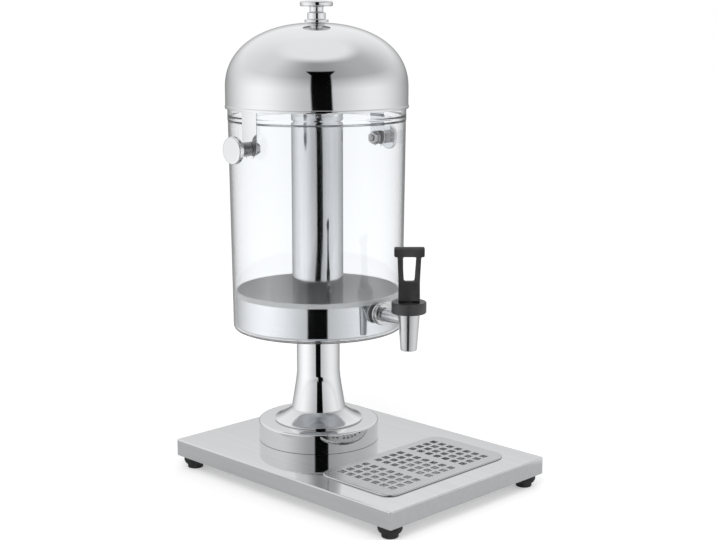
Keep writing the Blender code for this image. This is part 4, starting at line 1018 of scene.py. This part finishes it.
def make_tap():
    low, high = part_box("tap_body")
    tap_x, tap_y = span("tap_bonnet")[0].xy
    foot = low.z
    shank_z = span("tap_nut")[0].z
    shoulder = shank_z + TAP_SHOULDER_ABOVE_SHANK
    neck_top = shoulder + TAP_NECK_HEIGHT
    section = soft_line([
        (TAP_BORE, neck_top, TAP_INNER_EASE),
        (TAP_BORE, foot, TAP_EDGE_EASE),
        (TAP_TIP_RADIUS, foot, TAP_TIP_EASE),
        (TAP_TOP_RADIUS, shoulder, TAP_SHOULDER_ROUND),
        (TAP_NECK_RADIUS, shoulder, 0),
        (TAP_NECK_RADIUS, neck_top, TAP_EDGE_EASE),
    ])
    spout = put(lathe("spout", section, "tap_steel", SMALL_SIDES * 2), tap_x, tap_y)
    finish_shape(spout, "stand", "satin_steel", "tap_body")
    flange_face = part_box("tap_gasket")[0].y - GAP - tap_y
    end = high.y - tap_y
    shank = soft_line([
        (0, TAP_BORE + GAP, 0),
        (TAP_SHANK_RADIUS, TAP_BORE + GAP, 0),
        (TAP_SHANK_RADIUS, flange_face - TAP_FLANGE_SHEET, TAP_FLANGE_CREASE),
        (TAP_FLANGE_RADIUS, flange_face - TAP_FLANGE_SHEET, TAP_FLANGE_ROUND),
        (TAP_FLANGE_RADIUS, flange_face, TAP_EDGE_EASE),
        (TAP_SHANK_RADIUS, flange_face, 0),
        (TAP_SHANK_RADIUS, end, TAP_EDGE_EASE),
        (0, end, 0),
    ], closed=False)
    piece = put(lathe("shank", shank, "tap_steel", SMALL_SIDES), tap_x, tap_y, shank_z,
                turn_x=-math.pi / 2)
    finish_shape(piece, "stand", "satin_steel", "tap_body")


def make_bonnet():
    middle, radius, foot, top = span("tap_bonnet")
    section = soft_line([
        (TAP_NECK_RADIUS + GAP, foot, 0),
        (radius, foot, BONNET_ROUND),
        (radius, top, BONNET_ROUND),
        (BONNET_STEM_HOLE, top, BONNET_HOLE_EASE),
        (BONNET_STEM_HOLE, top - BONNET_SHEET, 0),
        (TAP_NECK_RADIUS + GAP, top - BONNET_SHEET, 0),
    ])
    bonnet = lathe("bonnet", section, "black_plastic")
    finish_shape(put(bonnet, middle.x, middle.y), "stand", "black_plastic", "tap_bonnet")


def make_lever():
    lever = refined("tap_lever", "black_plastic", LEVER_EDGE, 3)
    finish_shape(lever, "lever", "black_plastic", "tap_lever")


# Finishes of the CAD nodes that stay

def dress_nodes():
    for part in frame["record"]["subparts"]:
        node = frame["nodes"][part["node"]]
        for place in node.material_slots:
            place.material = finishes[part["material_slot"]]


# Studio

def studio_levels():
    """A node group with the levels of room and floor in a direction, as polished metal sees them; the floor's
    levels are painted light and painted shade.
    """
    group = bpy.data.node_groups.new("studio_levels", "ShaderNodeTree")
    group.interface.new_socket("Direction", in_out="INPUT", socket_type="NodeSocketVector")
    group.interface.new_socket("Room", in_out="OUTPUT", socket_type="NodeSocketFloat")
    group.interface.new_socket("Floor", in_out="OUTPUT", socket_type="NodeSocketFloat")
    way_in = group.nodes.new("NodeGroupInput").outputs[0]
    way_out = group.nodes.new("NodeGroupOutput")
    toward = Vector(CAMERA_TOWARD)
    toward.z = 0
    toward.normalize()
    right = toward.cross(Vector((0, 0, 1)))

    def along(axis):
        made = add_node(group, "ShaderNodeVectorMath", {"operation": "DOT_PRODUCT"})
        feed(group, made.inputs[0], way_in)
        feed(group, made.inputs[1], tuple(axis))
        return made.outputs["Value"]

    azimuth = maths(group, "DEGREES", maths(group, "ARCTAN2", along(right), along(-toward)))
    unit = add_node(group, "ShaderNodeVectorMath", {"operation": "NORMALIZE"})
    feed(group, unit.inputs[0], way_in)
    rise = add_node(group, "ShaderNodeSeparateXYZ", None, Vector=unit.outputs[0]).outputs[2]
    elevation = maths(group, "DEGREES", maths(group, "ARCSINE", rise))
    share = remap(group, azimuth, -180, 180)

    def ring(levels):
        made = add_node(group, "ShaderNodeValToRGB", None, Fac=share)
        ramp = made.color_ramp
        ramp.interpolation = "EASE"
        while len(ramp.elements) < len(levels):
            ramp.elements.new(1.0)
        for element, turn, level in zip(ramp.elements, FIELD_TURNS, levels):
            element.position = (turn + 180) / 360
            element.color = (*(3 * [level / LEVEL_LIMIT]), 1.0)
        return maths(group, "MULTIPLY", made.outputs[0], LEVEL_LIMIT)

    def beside(middle, half):
        off = maths(group, "ABSOLUTE", maths(group, "SUBTRACT", azimuth, middle))
        return remap(group, maths(group, "SUBTRACT", off, half), -CARD_EDGE / 2, CARD_EDGE / 2)

    middle = remap(group, elevation, CARD_LEAN_FROM, CARD_LEAN_UNTIL, CARD_MIDDLE, CARD_LOW_MIDDLE)
    half = remap(group, elevation, CARD_WIDER_FROM, CARD_TOP, CARD_HALF, CARD_HALF + CARD_WIDER,
                 kind="SMOOTHSTEP")
    above = remap(group, elevation, CARD_TOP - CARD_EDGE / 2, CARD_TOP + CARD_EDGE / 2)
    card = blend(group, maths(group, "MAXIMUM", beside(middle, half), above), CARD_LEVEL, 1.0)
    room = blend(group, remap(group, elevation, LOW_UNTIL, HIGH_FROM), ring(LOW_FIELDS), ring(HIGH_FIELDS))
    room = blend(group, remap(group, elevation, HIGH_UNTIL, OVERHEAD_FROM, kind="SMOOTHSTEP"), room,
                 OVERHEAD_LEVEL)
    group.links.new(maths(group, "MULTIPLY", room, card), way_out.inputs["Room"])
    # Floor: painted shade near the object, and beyond it painted fields of light with a near-black strip
    # toward the camera
    distance = add_node(group, "ShaderNodeVectorMath", {"operation": "LENGTH"})
    feed(group, distance.inputs[0], way_in)
    far = remap(group, distance.outputs["Value"], NEAR_FROM, NEAR_UNTIL)
    middle = remap(group, distance.outputs["Value"], CARD_SLANT_FROM, CARD_SLANT_UNTIL, CARD_FLOOR_MIDDLE,
                   CARD_LOW_MIDDLE)
    strip = blend(group, beside(middle, CARD_HALF), CARD_LEVEL, 1.0)
    beyond = maths(group, "MULTIPLY", ring(FLOOR_PAINTED_LIGHT_FIELDS), strip)
    group.links.new(blend(group, far, FLOOR_NEAR_PAINTED_SHADE, beyond), way_out.inputs["Floor"])
    return group


def light_path_level(tree, mirrored_level, fill_level):
    """White where it is seen, the studio's level in a mirror, and a plain level for soft light."""
    path = add_node(tree, "ShaderNodeLightPath")
    seen = maths(tree, "MAXIMUM", path.outputs["Is Camera Ray"],
                 maths(tree, "MAXIMUM", path.outputs["Is Glossy Ray"], path.outputs["Is Transmission Ray"]))
    in_mirror = maths(tree, "GREATER_THAN", path.outputs["Glossy Depth"], 0.5)
    return blend(tree, seen, fill_level, blend(tree, in_mirror, 1.0, mirrored_level))


def make_world(levels):
    world = bpy.data.worlds.new("studio")
    bpy.context.scene.world = world
    world.use_nodes = True
    world.cycles.sampling_method = "NONE"
    tree = world.node_tree
    look = add_node(tree, "ShaderNodeGroup", {"node_tree": levels})
    tree.links.new(add_node(tree, "ShaderNodeTexCoord").outputs["Generated"], look.inputs[0])
    level = light_path_level(tree, look.outputs["Room"], FILL_LEVEL)
    feed(tree, tree.nodes["Background"].inputs["Strength"], level)
    tree.nodes["Background"].inputs["Color"].default_value = (1.0, 1.0, 1.0, 1.0)


def make_floor(levels):
    bm = bmesh.new()
    bmesh.ops.create_circle(bm, cap_ends=True, segments=FLOOR_SIDES, radius=FLOOR_RADIUS)
    mesh = bpy.data.meshes.new("floor")
    bm.to_mesh(mesh)
    bm.free()
    floor = bpy.data.objects.new("floor", mesh)
    bpy.context.scene.collection.objects.link(floor)
    floor.location.y = span("tank_vessel")[0].y
    made = bpy.data.materials.new("floor")
    made.use_nodes = True
    tree = made.node_tree
    tree.nodes.remove(tree.nodes["Principled BSDF"])
    look = add_node(tree, "ShaderNodeGroup", {"node_tree": levels})
    tree.links.new(own_place(tree), look.inputs[0])
    # In mirrors the floor's colour and glow carry the painted light and shade of the studio levels
    level = light_path_level(tree, look.outputs["Floor"], 1.0)
    matte = add_node(tree, "ShaderNodeBsdfDiffuse")
    albedo = maths(tree, "MULTIPLY", level, FLOOR_ALBEDO)
    shade = add_node(tree, "ShaderNodeCombineColor")
    for socket in shade.inputs:
        feed(tree, socket, albedo)
    tree.links.new(shade.outputs[0], matte.inputs["Color"])
    glow = add_node(tree, "ShaderNodeEmission", None,
                    Strength=maths(tree, "MULTIPLY", level, 1 - FLOOR_ALBEDO * FILL_LEVEL))
    both = add_node(tree, "ShaderNodeAddShader")
    tree.links.new(matte.outputs[0], both.inputs[0])
    tree.links.new(glow.outputs[0], both.inputs[1])
    tree.links.new(both.outputs[0], tree.nodes["Material Output"].inputs["Surface"])
    mesh.materials.append(made)


def make_lamp(name, place, size, watts):
    light = bpy.data.lights.new(name, "AREA")
    light.shape = "DISK"
    light.size = size
    light.energy = watts
    lamp = bpy.data.objects.new(name, light)
    bpy.context.scene.collection.objects.link(lamp)
    lamp.location = place
    middle = span("tank_vessel")[0]
    lamp.rotation_euler = (middle - lamp.location).to_track_quat("-Z", "Y").to_euler()
    lamp.visible_glossy = False
    lamp.visible_camera = False


def make_camera():
    data = bpy.data.cameras.new("camera")
    data.lens = CAMERA_LENS_MM
    data.sensor_width = CAMERA_SENSOR_MM
    camera = bpy.data.objects.new("camera", data)
    bpy.context.scene.collection.objects.link(camera)
    camera.location = CAMERA_PLACE
    camera.rotation_euler = Vector(CAMERA_TOWARD).to_track_quat("-Z", "Y").to_euler()
    bpy.context.scene.camera = camera


finishes = make_finishes()
make_camera()
dress_nodes()
make_plate()
make_feet()
make_tray()
make_grille()
make_drum()
make_column()
make_vessel()
make_pan()
make_ice_tube()
make_dome()
make_knob()
for side_name, side in (("left", -1), ("right", 1)):
    make_strap(side_name, side)
    make_clamp(side_name, side)
make_tap()
make_bonnet()
make_lever()
studio = studio_levels()
make_world(studio)
make_floor(studio)
make_lamp("key", KEY_PLACE, KEY_SIZE, KEY_WATTS)
make_lamp("fill", FILL_PLACE, FILL_SIZE, FILL_WATTS)
bpy.context.scene.view_settings.view_transform = "Standard"
